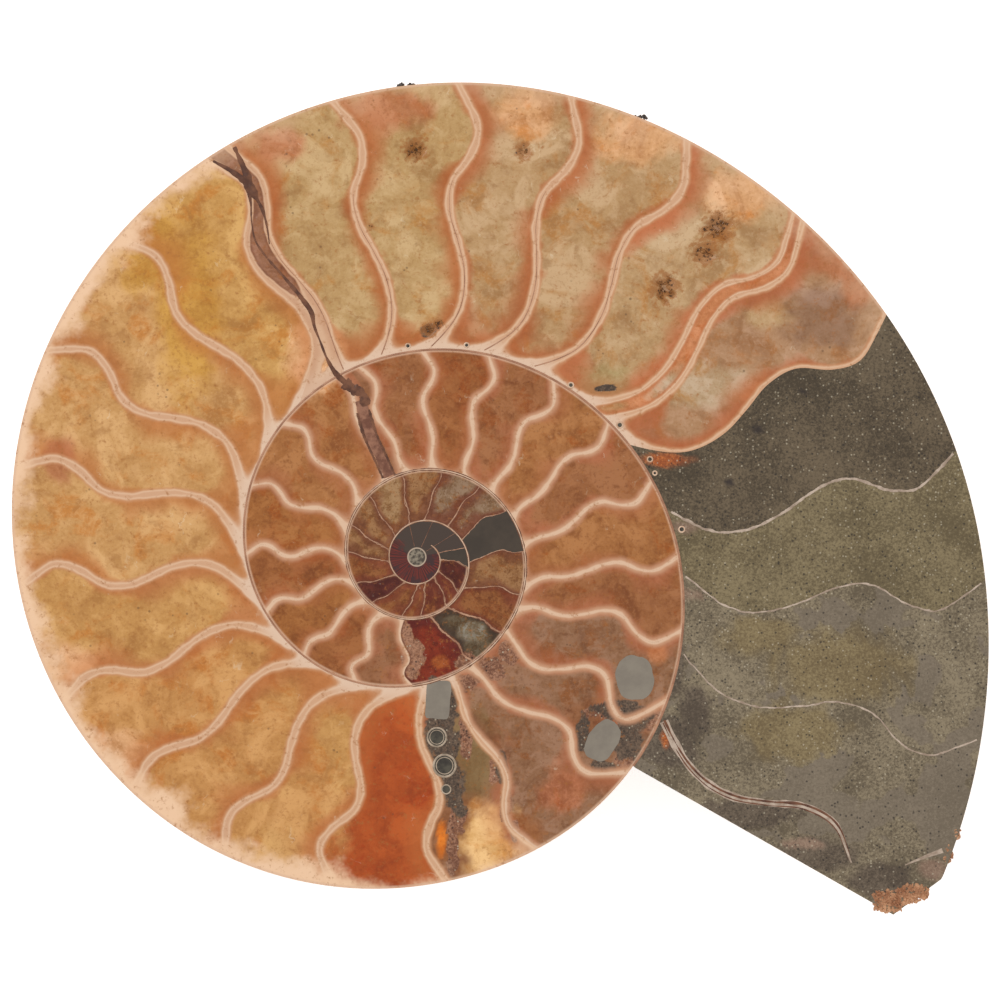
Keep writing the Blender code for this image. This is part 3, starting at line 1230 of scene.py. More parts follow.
def mud_end(behind):
    """The grid of the last mud, from a chamber wall to the straight break."""
    notch = polar(NOTCH_TURN, NOTCH_RADIUS)
    tip = polar(TIP_TURN, TIP_RADIUS)
    start = behind.line(count=MUD_POINTS)
    broken = notch + (tip - notch) * np.linspace(0.0, 1.0, MUD_POINTS)[:, None]
    inside = np.vstack([arc(behind.turns(np.zeros(1))[0], NOTCH_TURN, 1), notch])
    outside = np.vstack([arc(behind.turn, LAST_TURN, 0), tip])
    inside[0] = start[0]
    outside[0] = start[-1]
    return four_sided(start, broken, resampled(inside, MUD_POINTS), resampled(outside, MUD_POINTS))


# ---------------------------------------------------------------- lines along paths


class Lines:
    """Paths in mm with a half width at each point, for the ribbon tree."""

    def __init__(self):
        self.points = []
        self.edges = []
        self.half_widths = []

    def add(self, path, half_width, z=0.0):
        """One more path, with one half width or one for each point, at z metres from the face."""
        first = len(self.points)
        self.points.extend(in_frame(path, z).tolist())
        self.edges.extend([(first + step, first + step + 1) for step in range(len(path) - 1)])
        widths = np.broadcast_to(np.asarray(half_width, float), (len(path),))
        self.half_widths.extend((widths * MM).tolist())

    def mesh(self, name):
        """The paths as loose edges that carry their half widths."""
        mesh = bpy.data.meshes.new(name)
        mesh.from_pydata(self.points, self.edges, [])
        attribute = mesh.attributes.new("half_width", "FLOAT", "POINT")
        attribute.data.foreach_set("value", np.array(self.half_widths, np.float32))
        return mesh


def geometry_tree(name, **inputs):
    """A tree that turns geometry into geometry, its node helper and its input sockets."""
    tree = bpy.data.node_groups.new(name, "GeometryNodeTree")
    for label, kind in {"Geometry": "Geometry", **inputs, "Material": "Material"}.items():
        tree.interface.new_socket(label, in_out="INPUT", socket_type="NodeSocket" + kind)
    tree.interface.new_socket("Geometry", in_out="OUTPUT", socket_type="NodeSocketGeometry")
    nodes = Nodes(tree)
    return tree, nodes, nodes.node("NodeGroupInput").outputs


def end_tree(nodes, geometry, material):
    """Makes the copies real, gives them the material and puts them out."""
    real = nodes.node("GeometryNodeRealizeInstances", Geometry=geometry).outputs[0]
    made = nodes.node("GeometryNodeSetMaterial", Geometry=real, Material=material)
    nodes.node("NodeGroupOutput", Geometry=made.outputs[0])


def ribbon_tree():
    """Grows a raised band along each edge path, as wide as its points say."""
    tree, nodes, given = geometry_tree("ribbon", Flatness="Float", Sides="Int")
    path = nodes.node("GeometryNodeMeshToCurve", Mesh=given["Geometry"]).outputs[0]
    upright = nodes.node("GeometryNodeSetCurveNormal", {"mode": "Z_UP"}, Curve=path)
    circle = nodes.node("GeometryNodeCurvePrimitiveCircle", Resolution=given["Sides"])
    circle.inputs["Radius"].default_value = 1.0
    oval = nodes.node("ShaderNodeCombineXYZ", X=1.0, Y=given["Flatness"], Z=1.0).outputs[0]
    profile = nodes.node("GeometryNodeTransform", Geometry=circle.outputs["Curve"], Scale=oval)
    width = nodes.node("GeometryNodeInputNamedAttribute", Name="half_width").outputs[0]
    band = nodes.node("GeometryNodeCurveToMesh", Curve=upright.outputs[0], Scale=width)
    nodes.put(band.inputs["Profile Curve"], profile.outputs[0])
    band.inputs["Fill Caps"].default_value = True
    end_tree(nodes, band.outputs[0], given["Material"])
    return tree


GRAIN_LEAST = (0.4, 0.4, 0.3)  # a grain's smallest and largest reach along each axis, in its size
GRAIN_MOST = (1.3, 1.0, 0.8)
GRAIN_SPIN = (6.28, 6.28, 6.28)  # radians
SPIN_SEED = 7


def grains_tree():
    """Scatters small rough grains over a surface."""
    tree, nodes, given = geometry_tree("grains", Density="Float", Size="Float", Seed="Int")
    points = nodes.node("GeometryNodeDistributePointsOnFaces", Mesh=given["Geometry"])
    nodes.put(points.inputs["Density"], given["Density"])
    nodes.put(points.inputs["Seed"], given["Seed"])
    ball = nodes.node("GeometryNodeMeshIcoSphere", Radius=1.0, Subdivisions=1).outputs[0]
    vector = {"data_type": "FLOAT_VECTOR"}
    shape = nodes.node("FunctionNodeRandomValue", vector, Min=GRAIN_LEAST, Max=GRAIN_MOST)
    nodes.put(shape.inputs["Seed"], given["Seed"])
    size = nodes.node("ShaderNodeVectorMath", {"operation": "SCALE"}, Scale=given["Size"])
    nodes.put(size.inputs[0], shape.outputs[0])
    spin = nodes.node("FunctionNodeRandomValue", vector, Max=GRAIN_SPIN, Seed=SPIN_SEED)
    grains = nodes.node("GeometryNodeInstanceOnPoints", Points=points.outputs[0], Instance=ball)
    nodes.put(grains.inputs["Rotation"], spin.outputs[0])
    nodes.put(grains.inputs["Scale"], size.outputs[0])
    end_tree(nodes, grains.outputs[0], given["Material"])
    return tree


def grown(name, source, tree, **inputs):
    """The piece that a geometry tree makes from lines or from a mesh."""
    mesh = source.mesh(name) if isinstance(source, Lines) else source
    helper = bpy.data.objects.new(name + "_source", mesh)
    bpy.context.scene.collection.objects.link(helper)
    modifier = helper.modifiers.new("growth", "NODES")
    modifier.node_group = tree
    for socket in tree.interface.items_tree:
        if socket.item_type == "SOCKET" and socket.in_out == "INPUT" and socket.name in inputs:
            modifier[socket.identifier] = inputs[socket.name]
    evaluated = helper.evaluated_get(bpy.context.evaluated_depsgraph_get())
    mesh = bpy.data.meshes.new_from_object(evaluated)
    helper.modifiers.remove(modifier)
    bpy.data.objects.remove(helper)
    return finish_piece(bpy.data.objects.new(name, mesh))


def fading(count, start, end, power=1.0):
    """Half widths that run from one value to another."""
    return start + (end - start) * np.linspace(0.0, 1.0, count) ** power


# ---------------------------------------------------------------- the natural side

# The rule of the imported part's lower side, in mm.
TURN_GROWTH = 2.35
FULL_HALF_WIDTH = 16.0
FULL_RADIUS = 76.0
WIDTH_POWER = 0.6
UMBILICUS_SHARE = 0.24
SHOULDER = 0.22
SEAM_WIDTH = 0.5
FLANK_POWER = 2.2
VENTER_POWER = 0.62
UMBILICUS_FLOOR = 4.0
BACK_COLUMNS = 420
BACK_RINGS = 96
SHELL_TOP = 0.8  # mm from the face to the hidden top of the shell, inside the fillings
RIB_STEP = 5.6  # degrees between growth folds
RIB_HEIGHT = 0.28
RIB_SWEEP = 10.0  # degrees that a fold bows forwards in the middle of the flank
RIB_LEAN = 6.0
WHORLS = 4
LEDGE_INSET = 0.5
BREAK_COLUMNS = 60


def stone_depth(turn, radius):
    """How far in mm the stone reaches below the face: the deepest of the whorls that lie there."""
    depth = np.full(radius.shape, UMBILICUS_FLOOR)
    ribs = np.zeros(radius.shape)
    venter = np.broadcast_to(wall_radius(turn), radius.shape)
    for whorl in range(WHORLS):
        seam = UMBILICUS_SHARE * venter
        place = np.clip((radius - seam) / (venter - seam), 0.0, 1.0)
        near = 1.0 - (1.0 - SEAM_WIDTH) * (1.0 - np.minimum(place / SHOULDER, 1.0)) ** 2
        outward = np.clip((place - SHOULDER) / (1.0 - SHOULDER), 0.0, 1.0)
        far = (1.0 - outward ** FLANK_POWER) ** VENTER_POWER
        shape = np.where(place < SHOULDER, near, far)
        half_width = FULL_HALF_WIDTH * (venter / FULL_RADIUS) ** WIDTH_POWER
        here = np.where((radius >= seam) & (radius <= venter), half_width * shape, 0.0)
        bowed = RIB_SWEEP * np.sin(math.pi * place) - RIB_LEAN * place
        swept = turn - 360.0 * whorl + bowed
        folds = np.cos(np.radians(swept * 360.0 / RIB_STEP)) * np.sin(math.pi * place) ** 0.7
        ribs = np.where(here > depth, folds * half_width / FULL_HALF_WIDTH, ribs)
        depth = np.maximum(depth, here)
        venter = venter / TURN_GROWTH
    return depth + RIB_HEIGHT * (ribs - 1.0)


def back_outline():
    """Turn angles and radii in mm around the face, with the straight break."""
    turns = np.linspace(COIL_END_TURN, LAST_TURN, BACK_COLUMNS)
    rim = np.stack([turns, wall_radius(turns)], axis=-1)
    notch = polar(NOTCH_TURN, NOTCH_RADIUS)
    tip = polar(TIP_TURN, TIP_RADIUS)
    broken = tip + (notch - tip) * np.linspace(0.0, 1.0, BREAK_COLUMNS)[:, None]
    angles = np.degrees(np.arctan2(broken[:, 1], -broken[:, 0])) % 360.0
    edge = np.stack([angles, np.hypot(*broken.T)], axis=-1)
    return np.vstack([rim, edge[:-1]])


def natural_side(material):
    """The whole stone below the fillings: its ribbed flank, its rim and its broken end."""
    outline = back_outline()
    turns = outline[:, 0][:, None]
    shares = np.sin(np.linspace(0.02, 0.5, BACK_RINGS) * math.pi)[None, :]
    radii = outline[:, 1][:, None] * shares
    depth = np.maximum(stone_depth(turns, radii), FILLING_DEPTH / MM)
    depth[:, -1] = FILLING_DEPTH / MM
    low = in_frame(polar(np.broadcast_to(turns, radii.shape), radii), -depth * MM)
    inset = polar(turns[:, 0], outline[:, 1] - LEDGE_INSET)
    ledge = in_frame(inset, -SHELL_TOP * MM)
    count = len(outline)
    lowest = in_frame(np.zeros((1, 2)), -UMBILICUS_FLOOR * MM)
    points = np.vstack([low.reshape(-1, 3), ledge, lowest])
    middle = len(points) - 1
    top = count * BACK_RINGS
    faces = []
    for here in range(count):
        there = (here + 1) % count
        for ring in range(BACK_RINGS - 1):
            near, far = here * BACK_RINGS + ring, there * BACK_RINGS + ring
            faces.append([near, near + 1, far + 1, far])
        rim_here, rim_there = (here + 1) * BACK_RINGS - 1, (there + 1) * BACK_RINGS - 1
        faces.append([rim_here, top + here, top + there, rim_there])
        faces.append([middle, here * BACK_RINGS, there * BACK_RINGS])
    faces.append([top + number for number in range(count - 1, -1, -1)])
    blocks = Blocks()
    broken = np.zeros(len(points))
    columns = np.arange(BACK_COLUMNS, count)
    for ring in (BACK_RINGS - 2, BACK_RINGS - 1):
        broken[columns * BACK_RINGS + ring] = 1.0
    broken[top + columns] = 1.0
    blocks.add(points, faces, depth_mm=FACE_Z / MM - points[:, 2] / MM, broken=broken)
    return blocks.piece("natural_side", material)


def patina_material():
    """The natural side's rind, and the hardened mud that the straight break lays bare."""
    material, nodes, shader = new_material("patina", roughness=0.5, coat=0.15)
    rind = nodes.group(RIND, Depth=nodes.attribute("depth_mm"))
    mud = nodes.group(MUD, Dark=srgb(92, 78, 58), Pale=srgb(140, 124, 98), Grit=0.4, Patchiness=0.8)
    broken = nodes.ramp(nodes.attribute("broken"), 0.3, 0.9)
    nodes.put(shader.inputs["Base Color"], nodes.mix(broken, rind["Colour"], mud["Colour"]))
    bump(nodes, shader, rind["Height"], distance=0.0003, strength=0.6)
    return material


def plain_material(name, light, dark, scale=900.0, roughness=0.35):
    """Two close tones, mottled."""
    material, nodes, shader = new_material(name, roughness, coat=0.1)
    share = nodes.ramp(nodes.noise(scale, 4.0, 0.6), 0.35, 0.65)
    nodes.put(shader.inputs["Base Color"], nodes.mix(share, dark, light))
    return material


def nucleus_material():
    """The clear first chamber and the dark red rays around it."""
    material, nodes, shader = new_material("nucleus", roughness=0.2, coat=0.3)
    from_axis = nodes.attribute("from_axis")
    turn = nodes.attribute("turn")
    angle = nodes.math("MULTIPLY", turn, 0.11)
    ray_place = nodes.node("ShaderNodeCombineXYZ", X=angle).outputs[0]
    rays = nodes.noise(2.4, 2.0, 0.6, ray_place)
    red = nodes.mix(nodes.ramp(rays, 0.40, 0.6), srgb(58, 24, 22), srgb(116, 38, 26))
    blotch = nodes.noise(900.0, 5.0)
    red = nodes.mix(nodes.ramp(blotch, 0.48, 0.60), red, srgb(62, 34, 34))
    filled = nodes.math("MULTIPLY_ADD", nodes.math("SUBTRACT", blotch, 0.5), 90.0, turn)
    red = nodes.mix(nodes.ramp(filled, -1060.0, -1030.0), red, srgb(69, 54, 45))
    frost = nodes.ramp(nodes.noise(2200.0, 4.0), 0.42, 0.6)
    clear = nodes.mix(frost, srgb(74, 64, 54), srgb(142, 130, 112))
    colour = nodes.mix(nodes.ramp(from_axis, 1.02, 1.12), clear, red)
    outside = nodes.ramp(from_axis, 1.0, 1.06)
    ring = nodes.math("MULTIPLY", outside, nodes.ramp(from_axis, 1.22, 1.14))
    colour = nodes.mix(ring, colour, srgb(186, 164, 142))
    nodes.put(shader.inputs["Base Color"], colour)
    return material


# ---------------------------------------------------------------- small inlays

INLAY_DEPTH = 0.4
INLAY_RISE = 0.02
LOW_RISE = 0.01
OUTLINE_POINTS = 44


def rounded(place, size, tilt, squareness, raggedness, seed):
    """A closed outline in mm between an oval and a rectangle, a little uneven."""
    angles = np.linspace(0.0, 2.0 * math.pi, OUTLINE_POINTS, endpoint=False)
    cosine = np.cos(angles)
    sine = np.sin(angles)
    reach = (np.abs(cosine) ** squareness + np.abs(sine) ** squareness) ** (-1.0 / squareness)
    oval = np.stack([cosine * reach * size[0] / 2, sine * reach * size[1] / 2], axis=-1)
    oval = oval * (1.0 + raggedness * wobble(oval + np.array(place), 2.5, seed))[:, None]
    turned = math.radians(tilt)
    turn = np.array([[math.cos(turned), math.sin(turned)], [-math.sin(turned), math.cos(turned)]])
    return oval @ turn + np.array(place)


def inlay(blocks, outline, rise):
    """A thin plate whose top stands a hair above the face."""
    top = in_frame(outline, rise * MM)
    rim = list(range(len(top)))
    points, faces = hang_below(top, [rim], rim, INLAY_DEPTH * MM)
    blocks.add(points, faces)


# Smooth grey fillings: place in mm, size along x and y, tilt in degrees, squareness, raggedness, seed.
GREY_FILLS = [
    rounded((2.6, -17.5), (3.0, 4.7), -4.0, 9.0, 0.03, 3),
    rounded((26.7, -14.8), (4.6, 5.4), 8.0, 2.6, 0.05, 4),
    rounded((22.8, -22.5), (3.6, 5.2), -32.0, 2.8, 0.06, 5),
]
# The tube through the walls, cut across: place in mm, then the radius and half width of each ring.
RINGS = [
    ((2.45, -22.1), [(1.15, 0.11), (0.86, 0.05)]),
    ((3.4, -25.6), [(1.35, 0.13), (1.02, 0.06)]),
    ((3.6, -28.5), [(0.55, 0.08)]),
]
# The small holes where the tube meets the walls: place in mm and radius.
WALL_DOTS = [
    ((-1.1, 25.9), 0.42),
    ((6.1, 26.0), 0.40),
    ((18.9, 21.1), 0.45),
    ((24.9, 16.2), 0.5),
    ((28.6, 12.0), 0.45),
    ((29.2, 10.3), 0.35),
    ((32.5, 3.4), 0.5),
]


def circle(place, radius, count=40):
    """A closed circle in mm, with its first point again at the end."""
    angles = np.linspace(0.0, 2.0 * math.pi, count)
    return np.stack([np.cos(angles), np.sin(angles)], axis=-1) * radius + np.array(place)


# ---------------------------------------------------------------- building it


YOUNG_GRAIN = 0.14
YOUNG_JOIN = 0.15
FIRST_YOUNG_SEED = 60


def build_fillings():
    """The chambers of every whorl, and the first chambers in the middle."""
    outer = calcite_material("calcite_outer", OUTER)
    second = calcite_material("calcite_second", SECOND)
    young = calcite_material("calcite_young", YOUNG)
    vein = calcite_material("calcite_vein", VEIN)
    double = calcite_material("calcite_double_wall", DOUBLE_WALL)
    # Each stretch: its turns, material, mm between points, rim glow, how walls join, inner band.
    spans = [
        ("second_whorl", -448.4, -112.5, second, 0.3, 0.0, 0.45, 0.4),
        ("fracture_zone", -112.5, -95.2, outer, 0.3, 0.6, 0.4, 0.3),
        ("outer_whorl_left", -95.2, 62.2, outer, GRAIN, 1.0, 0.7, 0.3),
        ("vein_filling", 62.2, 65.0, vein, 0.25, 0.3, 0.3, 0.0),
        ("outer_whorl_top", 65.0, 137.6, outer, GRAIN, 0.25, 0.9, 0.0),
        ("double_wall", 137.6, 138.7, double, 0.25, 0.25, 0.2, 0.0),
        ("outer_whorl_tip", 138.7, 152.7, outer, GRAIN, 0.25, 0.9, 0.0),
    ]
    for name, first, last, material, *looks in spans:
        blocks = Fillings()
        for number, (septum, filling) in enumerate(CHAMBERS[:-1]):
            if first <= septum.turn < last:
                ahead = CHAMBERS[number + 1][0]
                blocks.chamber(septum, ahead, FILLINGS[filling], number, *looks)
        blocks.piece(name, material)
    blocks = Fillings()
    slate = Fillings()
    septa = young_septa()
    for number, (_, _, _, filling) in enumerate(YOUNG_CHAMBERS):
        pair = septa[number], septa[number + 1]
        chosen = slate if filling == "slate" else blocks
        seed = FIRST_YOUNG_SEED + number
        chosen.chamber(*pair, FILLINGS[filling], seed, YOUNG_GRAIN, join=YOUNG_JOIN)
    blocks.piece("inner_whorls", young)
    clean = plain_material("slate_fill", srgb(75, 63, 52), srgb(64, 54, 45), 260.0, 0.22)
    slate.piece("slate_chambers", clean)
    blocks = Fillings()
    nucleus(blocks)
    blocks.piece("nucleus", nucleus_material())


def mud_material():
    """Hardened mud in two colours, taken over here and there by smooth grey blobs."""
    material, nodes, shader = new_material("body_mud", roughness=0.36, coat=0.1)
    blob_noise = nodes.noise(150.0, 3.0, 0.5, nodes.shift(nodes.place(), 0.013))
    blob_line = nodes.math("MULTIPLY_ADD", nodes.attribute("blobs"), -0.5, 1.0)
    blob = nodes.ramp(nodes.math("SUBTRACT", blob_noise, blob_line), -0.01, 0.02)
    blob = nodes.math("MULTIPLY", blob, nodes.ramp(nodes.attribute("blobs"), 0.0, 0.1))
    mud = nodes.group(
        MUD,
        Dark=nodes.attribute("dark", "Color"),
        Pale=nodes.attribute("pale", "Color"),
        Grit=0.55,
        Patchiness=0.7,
    )
    smooth = nodes.group(MUD, Dark=srgb(112, 99, 82), Pale=srgb(132, 118, 100), Grit=0.08)
    colour = nodes.mix(blob, mud["Colour"], smooth["Colour"])
    nodes.put(shader.inputs["Base Color"], with_rind(nodes, colour))
    bump(nodes, shader, mud["Height"], distance=0.00003, strength=0.3)
    return material


def build_mud():
    """The hardened mud of the body chamber, one block to each stretch between its walls."""
    blocks = Fillings()
    first = [number for number, (_, name) in enumerate(CHAMBERS) if name in MUDS][0]
    for number in range(first, len(CHAMBERS) - 1):
        septum, name = CHAMBERS[number]
        if number < len(CHAMBERS) - 2:
            grid = mud_stretch(septum, CHAMBERS[number + 1][0])
        else:
            grid = mud_end(septum)
        dark, pale, blobs = mud_painted(grid.reshape(-1, 2), *MUDS[name])
        blocks.lay(grid, dark=dark, pale=pale, blobs=blobs)
    blocks.piece("body_chamber", mud_material())


# The cracks of the vein: place in mm and half width along each, from the rim inwards.
CRACKS = [
    [((-22.4, 50.3), 0.2), ((-21.0, 47.2), 0.34), ((-20.1, 44.8), 0.5), ((-18.9, 42.5), 0.22),
     ((-18.3, 40.0), 0.13), ((-18.1, 38.4), 0.06)],
    [((-25.0, 48.6), 0.12), ((-22.7, 47.3), 0.3), ((-21.2, 46.1), 0.34), ((-20.4, 43.6), 0.14),
     ((-20.3, 41.4), 0.08), ((-19.8, 38.8), 0.1), ((-18.4, 36.7), 0.1)],
    [((-18.3, 36.6), 0.1), ((-16.0, 34.0), 0.14), ((-14.1, 31.7), 0.22), ((-12.9, 29.9), 0.34),
     ((-12.6, 28.4), 0.22), ((-11.8, 26.3), 0.12), ((-11.1, 24.5), 0.16), ((-10.0, 22.6), 0.34),
     ((-8.1, 20.8), 0.42)],
]
TIP_SCAR = [(59.9, -37.8), (61.8, -37.0), (64.5, -36.0)]
WEDGE = [(-6.9, 19.2), (-6.5, 17.6), (-5.7, 15.0), (-4.4, 12.1), (-3.4, 9.9)]
KNOT = [(-8.9, 21.4), (-7.8, 20.6), (-6.9, 20.2), (-6.2, 18.6)]


LIFT = 0.00001  # metres between the heights of lines that cross


def line_finishes():
    """The materials of the walls, seams and cracks."""
    return {
        "brown": plain_material("wall_brown", srgb(186, 136, 106), srgb(154, 106, 80), 500.0),
        "pink": plain_material("wall_pink", srgb(196, 152, 122), srgb(158, 110, 84), 700.0),
        "pale": plain_material("wall_pale", srgb(224, 192, 164), srgb(190, 150, 120), 700.0),
        "rusty": plain_material("wall_rusty", srgb(150, 104, 78), srgb(104, 62, 42), 900.0),
        "ring_grey": plain_material("ring_grey", srgb(190, 170, 148), srgb(150, 132, 112), 900.0),
        "mud": plain_material("mud_wall", srgb(200, 180, 162), srgb(156, 134, 116), 900.0),
        "vein": plain_material("vein_fill", srgb(156, 108, 84), srgb(112, 68, 50), 900.0, 0.45),
        "dark": plain_material("dark_seam", srgb(124, 80, 56), srgb(84, 50, 36), 700.0),
    }


CORED_FROM = 64.0  # between these turns the walls show a brown core
CORED_TO = 137.0


def build_septum_cores(tree, finishes):
    """The fine brown line inside each chamber wall at the top."""
    cores = Lines()
    for septum, _ in CHAMBERS:
        if CORED_FROM < septum.turn < CORED_TO:
            cores.add(septum.line(0.02, 0.72), fading(60, 0.07, 0.02, 1.5), LIFT)
    grown("septum_cores", cores, tree, Flatness=0.3, Sides=8, Material=finishes["brown"])


MUD_FROM = 152.8  # between these turns the walls are thin and stand in mud
MUD_TO = 212.0
THICK_MUD_WALL = 0.15
THIN_MUD_WALL = 0.095
THIN_MUD_WALLS_FROM = 170.0
LAST_WALL_POINTS = 80
LAST_WALL_REACH = 0.79


def build_mud_walls(tree, finishes):
    """The thin walls in the mud, and the thick hollow one before the break."""
    walls = Lines()
    for septum, _ in CHAMBERS:
        if MUD_FROM < septum.turn < MUD_TO:
            way = septum.line(0.02, 0.99, 160)
            way = way + 0.16 * wobble(way, 5.0, 30)[:, None] * np.array([0.4, 1.0])
            half = THICK_MUD_WALL if septum.turn < THIN_MUD_WALLS_FROM else THIN_MUD_WALL
            walls.add(way, half * (1.0 + 0.5 * wobble(way, 1.6, 33)), LIFT)
    last = CHAMBERS[-1][0]
    way = last.line(0.02, LAST_WALL_REACH, LAST_WALL_POINTS)
    taper = np.clip(np.linspace(8.0, 0.2, LAST_WALL_POINTS), 0.0, 1.0)
    wide = fading(LAST_WALL_POINTS, 0.55, 0.38) * taper
    walls.add(way, wide * (1.0 + 0.2 * wobble(way, 3.0, 31)))
    walls.add(smooth_path(TIP_SCAR, 30), fading(30, 0.06, 0.3))
    grown("mud_walls", walls, tree, Flatness=0.1, Sides=10, Material=finishes["mud"])
    groove = Lines()
    across = np.linspace(0.02, LAST_WALL_REACH - 0.01, LAST_WALL_POINTS)
    for side, half in ((-0.2, 0.13), (0.34, 0.07)):
        way = across_coil(last.turns(across) + side, across)
        groove.add(way, half * taper * (1.0 + 0.5 * wobble(way, 3.0, 32)), 4 * LIFT)
    grown("mud_wall_groove", groove, tree, Flatness=0.15, Sides=8, Material=finishes["dark"])


THIN_YOUNG_WALL = 0.042
THICK_YOUNG_WALL = 0.1
FIRST_CHAMBER_EDGE = 1.35


def build_young_walls(tree, finishes):
    """The walls between the young chambers, and the fine ones in the grey filling."""
    walls = Lines()
    for septum in young_septa()[:-1]:
        half = THIN_YOUNG_WALL if septum.turn < THICK_WALLS_FROM else THICK_YOUNG_WALL
        way = septum.line(0.0, 1.0)
        way = way + 0.14 * wobble(way, 1.5, 23)[:, None] * np.array([1.0, 0.6])
        walls.add(way, half * (1.0 + 0.6 * wobble(way, 0.9, 22)), LIFT)
    grown("young_walls", walls, tree, Flatness=0.4, Sides=8, Material=finishes["pink"])
    rays = Lines()
    for turn in RAY_TURNS:
        rays.add(polar(turn, np.linspace(FIRST_CHAMBER_EDGE, float(wall_radius(turn)), 12)), 0.03, LIFT)
    grown("nucleus_rays", rays, tree, Flatness=0.4, Sides=8, Material=finishes["rusty"])


YOUNG_COIL = (-1300.0, -448.0, 520)  # first turn, last turn and number of points
SECOND_COIL = (-448.0, -136.0, 360)


def build_coil_walls(tree, finishes):
    """The wall that winds between the whorls, with a rusty seam along its young part."""
    coil = Lines()
    seam = Lines()
    turns = np.linspace(*YOUNG_COIL)
    way = polar(turns, wall_radius(turns))
    coil.add(way, fading(len(way), 0.045, 0.07), 3 * LIFT)
    seam.add(way, fading(len(way), 0.09, 0.17) * (1.0 + 0.4 * wobble(way, 1.6, 21)), LIFT)
    grown("coil_wall_young", coil, tree, Flatness=0.4, Sides=8, Material=finishes["pale"])
    grown("coil_seam_young", seam, tree, Flatness=0.2, Sides=8, Material=finishes["rusty"])
    coil = Lines()
    turns = np.linspace(*SECOND_COIL)
    coil.add(polar(turns, wall_radius(turns)), fading(len(turns), 0.10, 0.14), 2 * LIFT)
    grown("coil_wall", coil, tree, Flatness=0.4, Sides=8, Material=finishes["brown"])


def build_vein(tree, finishes):
    """The cracks of the vein, the brown wedge where it crosses the second whorl, and its knot."""
    cracks = Lines()
    for seed, path in enumerate(CRACKS, start=12):
        way = smooth_path([place for place, _ in path])
        widths = smooth_path([(number, half) for number, (_, half) in enumerate(path)])[:, 1]
        cracks.add(way, widths * (1.0 + 0.35 * wobble(way, 2.0, seed)), 2 * LIFT)
    grown("vein_cracks", cracks, tree, Flatness=0.2, Sides=8, Material=finishes["dark"])
    wedge = Lines()
    way = smooth_path(WEDGE)
    wedge.add(way, fading(len(way), 0.85, 0.62) * (1.0 + 0.25 * wobble(way, 4.0, 11)), LIFT)
    grown("vein_wedge", wedge, tree, Flatness=0.03, Sides=12, Material=finishes["vein"])
    knot = Lines()
    heart = smooth_path(KNOT, 30)
    knot.add(heart, 0.6 * (1.0 + 0.5 * wobble(heart, 1.6, 15)), 3 * LIFT)
    for side in (-0.75, 0.7):
        edge = way[8:] + np.array([side, side * 0.3])
        knot.add(edge, 0.13 * (1.0 + 0.6 * wobble(edge, 1.6, 16)), 4 * LIFT)
    grown("vein_knot", knot, tree, Flatness=0.1, Sides=8, Material=finishes["dark"])


def build_rings(tree, finishes):
    """The rings of the tube through the walls, and the pale halos of its small holes."""
    rings = Lines()
    for place, widths in RINGS:
        for radius, half in widths:
            rings.add(circle(place, radius), half, 4 * LIFT)
    grown("rings", rings, tree, Flatness=0.4, Sides=8, Material=finishes["ring_grey"])
    halos = Lines()
    for place, radius in WALL_DOTS:
        halos.add(circle(place, radius * 0.7, 24), 0.09, 3 * LIFT)
    grown("wall_halos", halos, tree, Flatness=0.3, Sides=8, Material=finishes["pale"])


def build_lines():
    """Everything that one ribbon tree grows along a path."""
    tree = ribbon_tree()
    finishes = line_finishes()
    build_septum_cores(tree, finishes)
    build_mud_walls(tree, finishes)
    build_young_walls(tree, finishes)
    build_coil_walls(tree, finishes)
    build_vein(tree, finishes)
    build_rings(tree, finishes)


def build_inlays():
    """The smooth grey fillings, and the dark fillings of the rings and of the small holes."""
    grey = plain_material("grey_fill", srgb(142, 132, 118), srgb(130, 120, 108), 300.0)
    blocks = Blocks()
    for outline in GREY_FILLS:
        inlay(blocks, outline, INLAY_RISE)
    blocks.piece("grey_fills", grey)
    dark = plain_material("ring_fill", srgb(84, 78, 66), srgb(54, 48, 42), 900.0)
    blocks = Blocks()
    for place, widths in RINGS:
        outer_radius = widths[0][0]
        inlay(blocks, circle(place, outer_radius - 0.04, 33)[:-1], LOW_RISE)
    for place, radius in WALL_DOTS:
        inlay(blocks, circle(place, radius * 0.6, 17)[:-1], LOW_RISE)
    blocks.piece("ring_fills", dark)


# Small rough places: place in mm, reach along x and y, height of the middle in mm from the face.
RIM_LUMPS = [
    ((-1.1, 57.8), (1.3, 0.35), -0.4),
    ((27.4, 53.9), (0.8, 0.3), -0.4),
]
CRUST = [
    ((58.0, -42.7), (1.9, 0.9), -0.15),
    ((58.6, -41.7), (2.8, 1.0), -0.15),
    ((61.0, -41.2), (1.9, 1.1), -0.15),
    ((65.0, -36.4), (0.7, 1.2), -0.3),
    ((66.2, -33.9), (0.5, 0.7), -0.3),
]


def patches(name, spots):
    """Small oval surfaces for grains to grow on."""
    points = []
    faces = []
    for place, reach, height in spots:
        first = len(points)
        oval = circle((0.0, 0.0), 1.0, 17)[:-1] * np.array(reach) + np.array(place)
        points.extend(in_frame(oval, height * MM).tolist())
        faces.append(list(range(first, len(points))))
    mesh = bpy.data.meshes.new(name)
    mesh.from_pydata(points, [], faces)
    return mesh


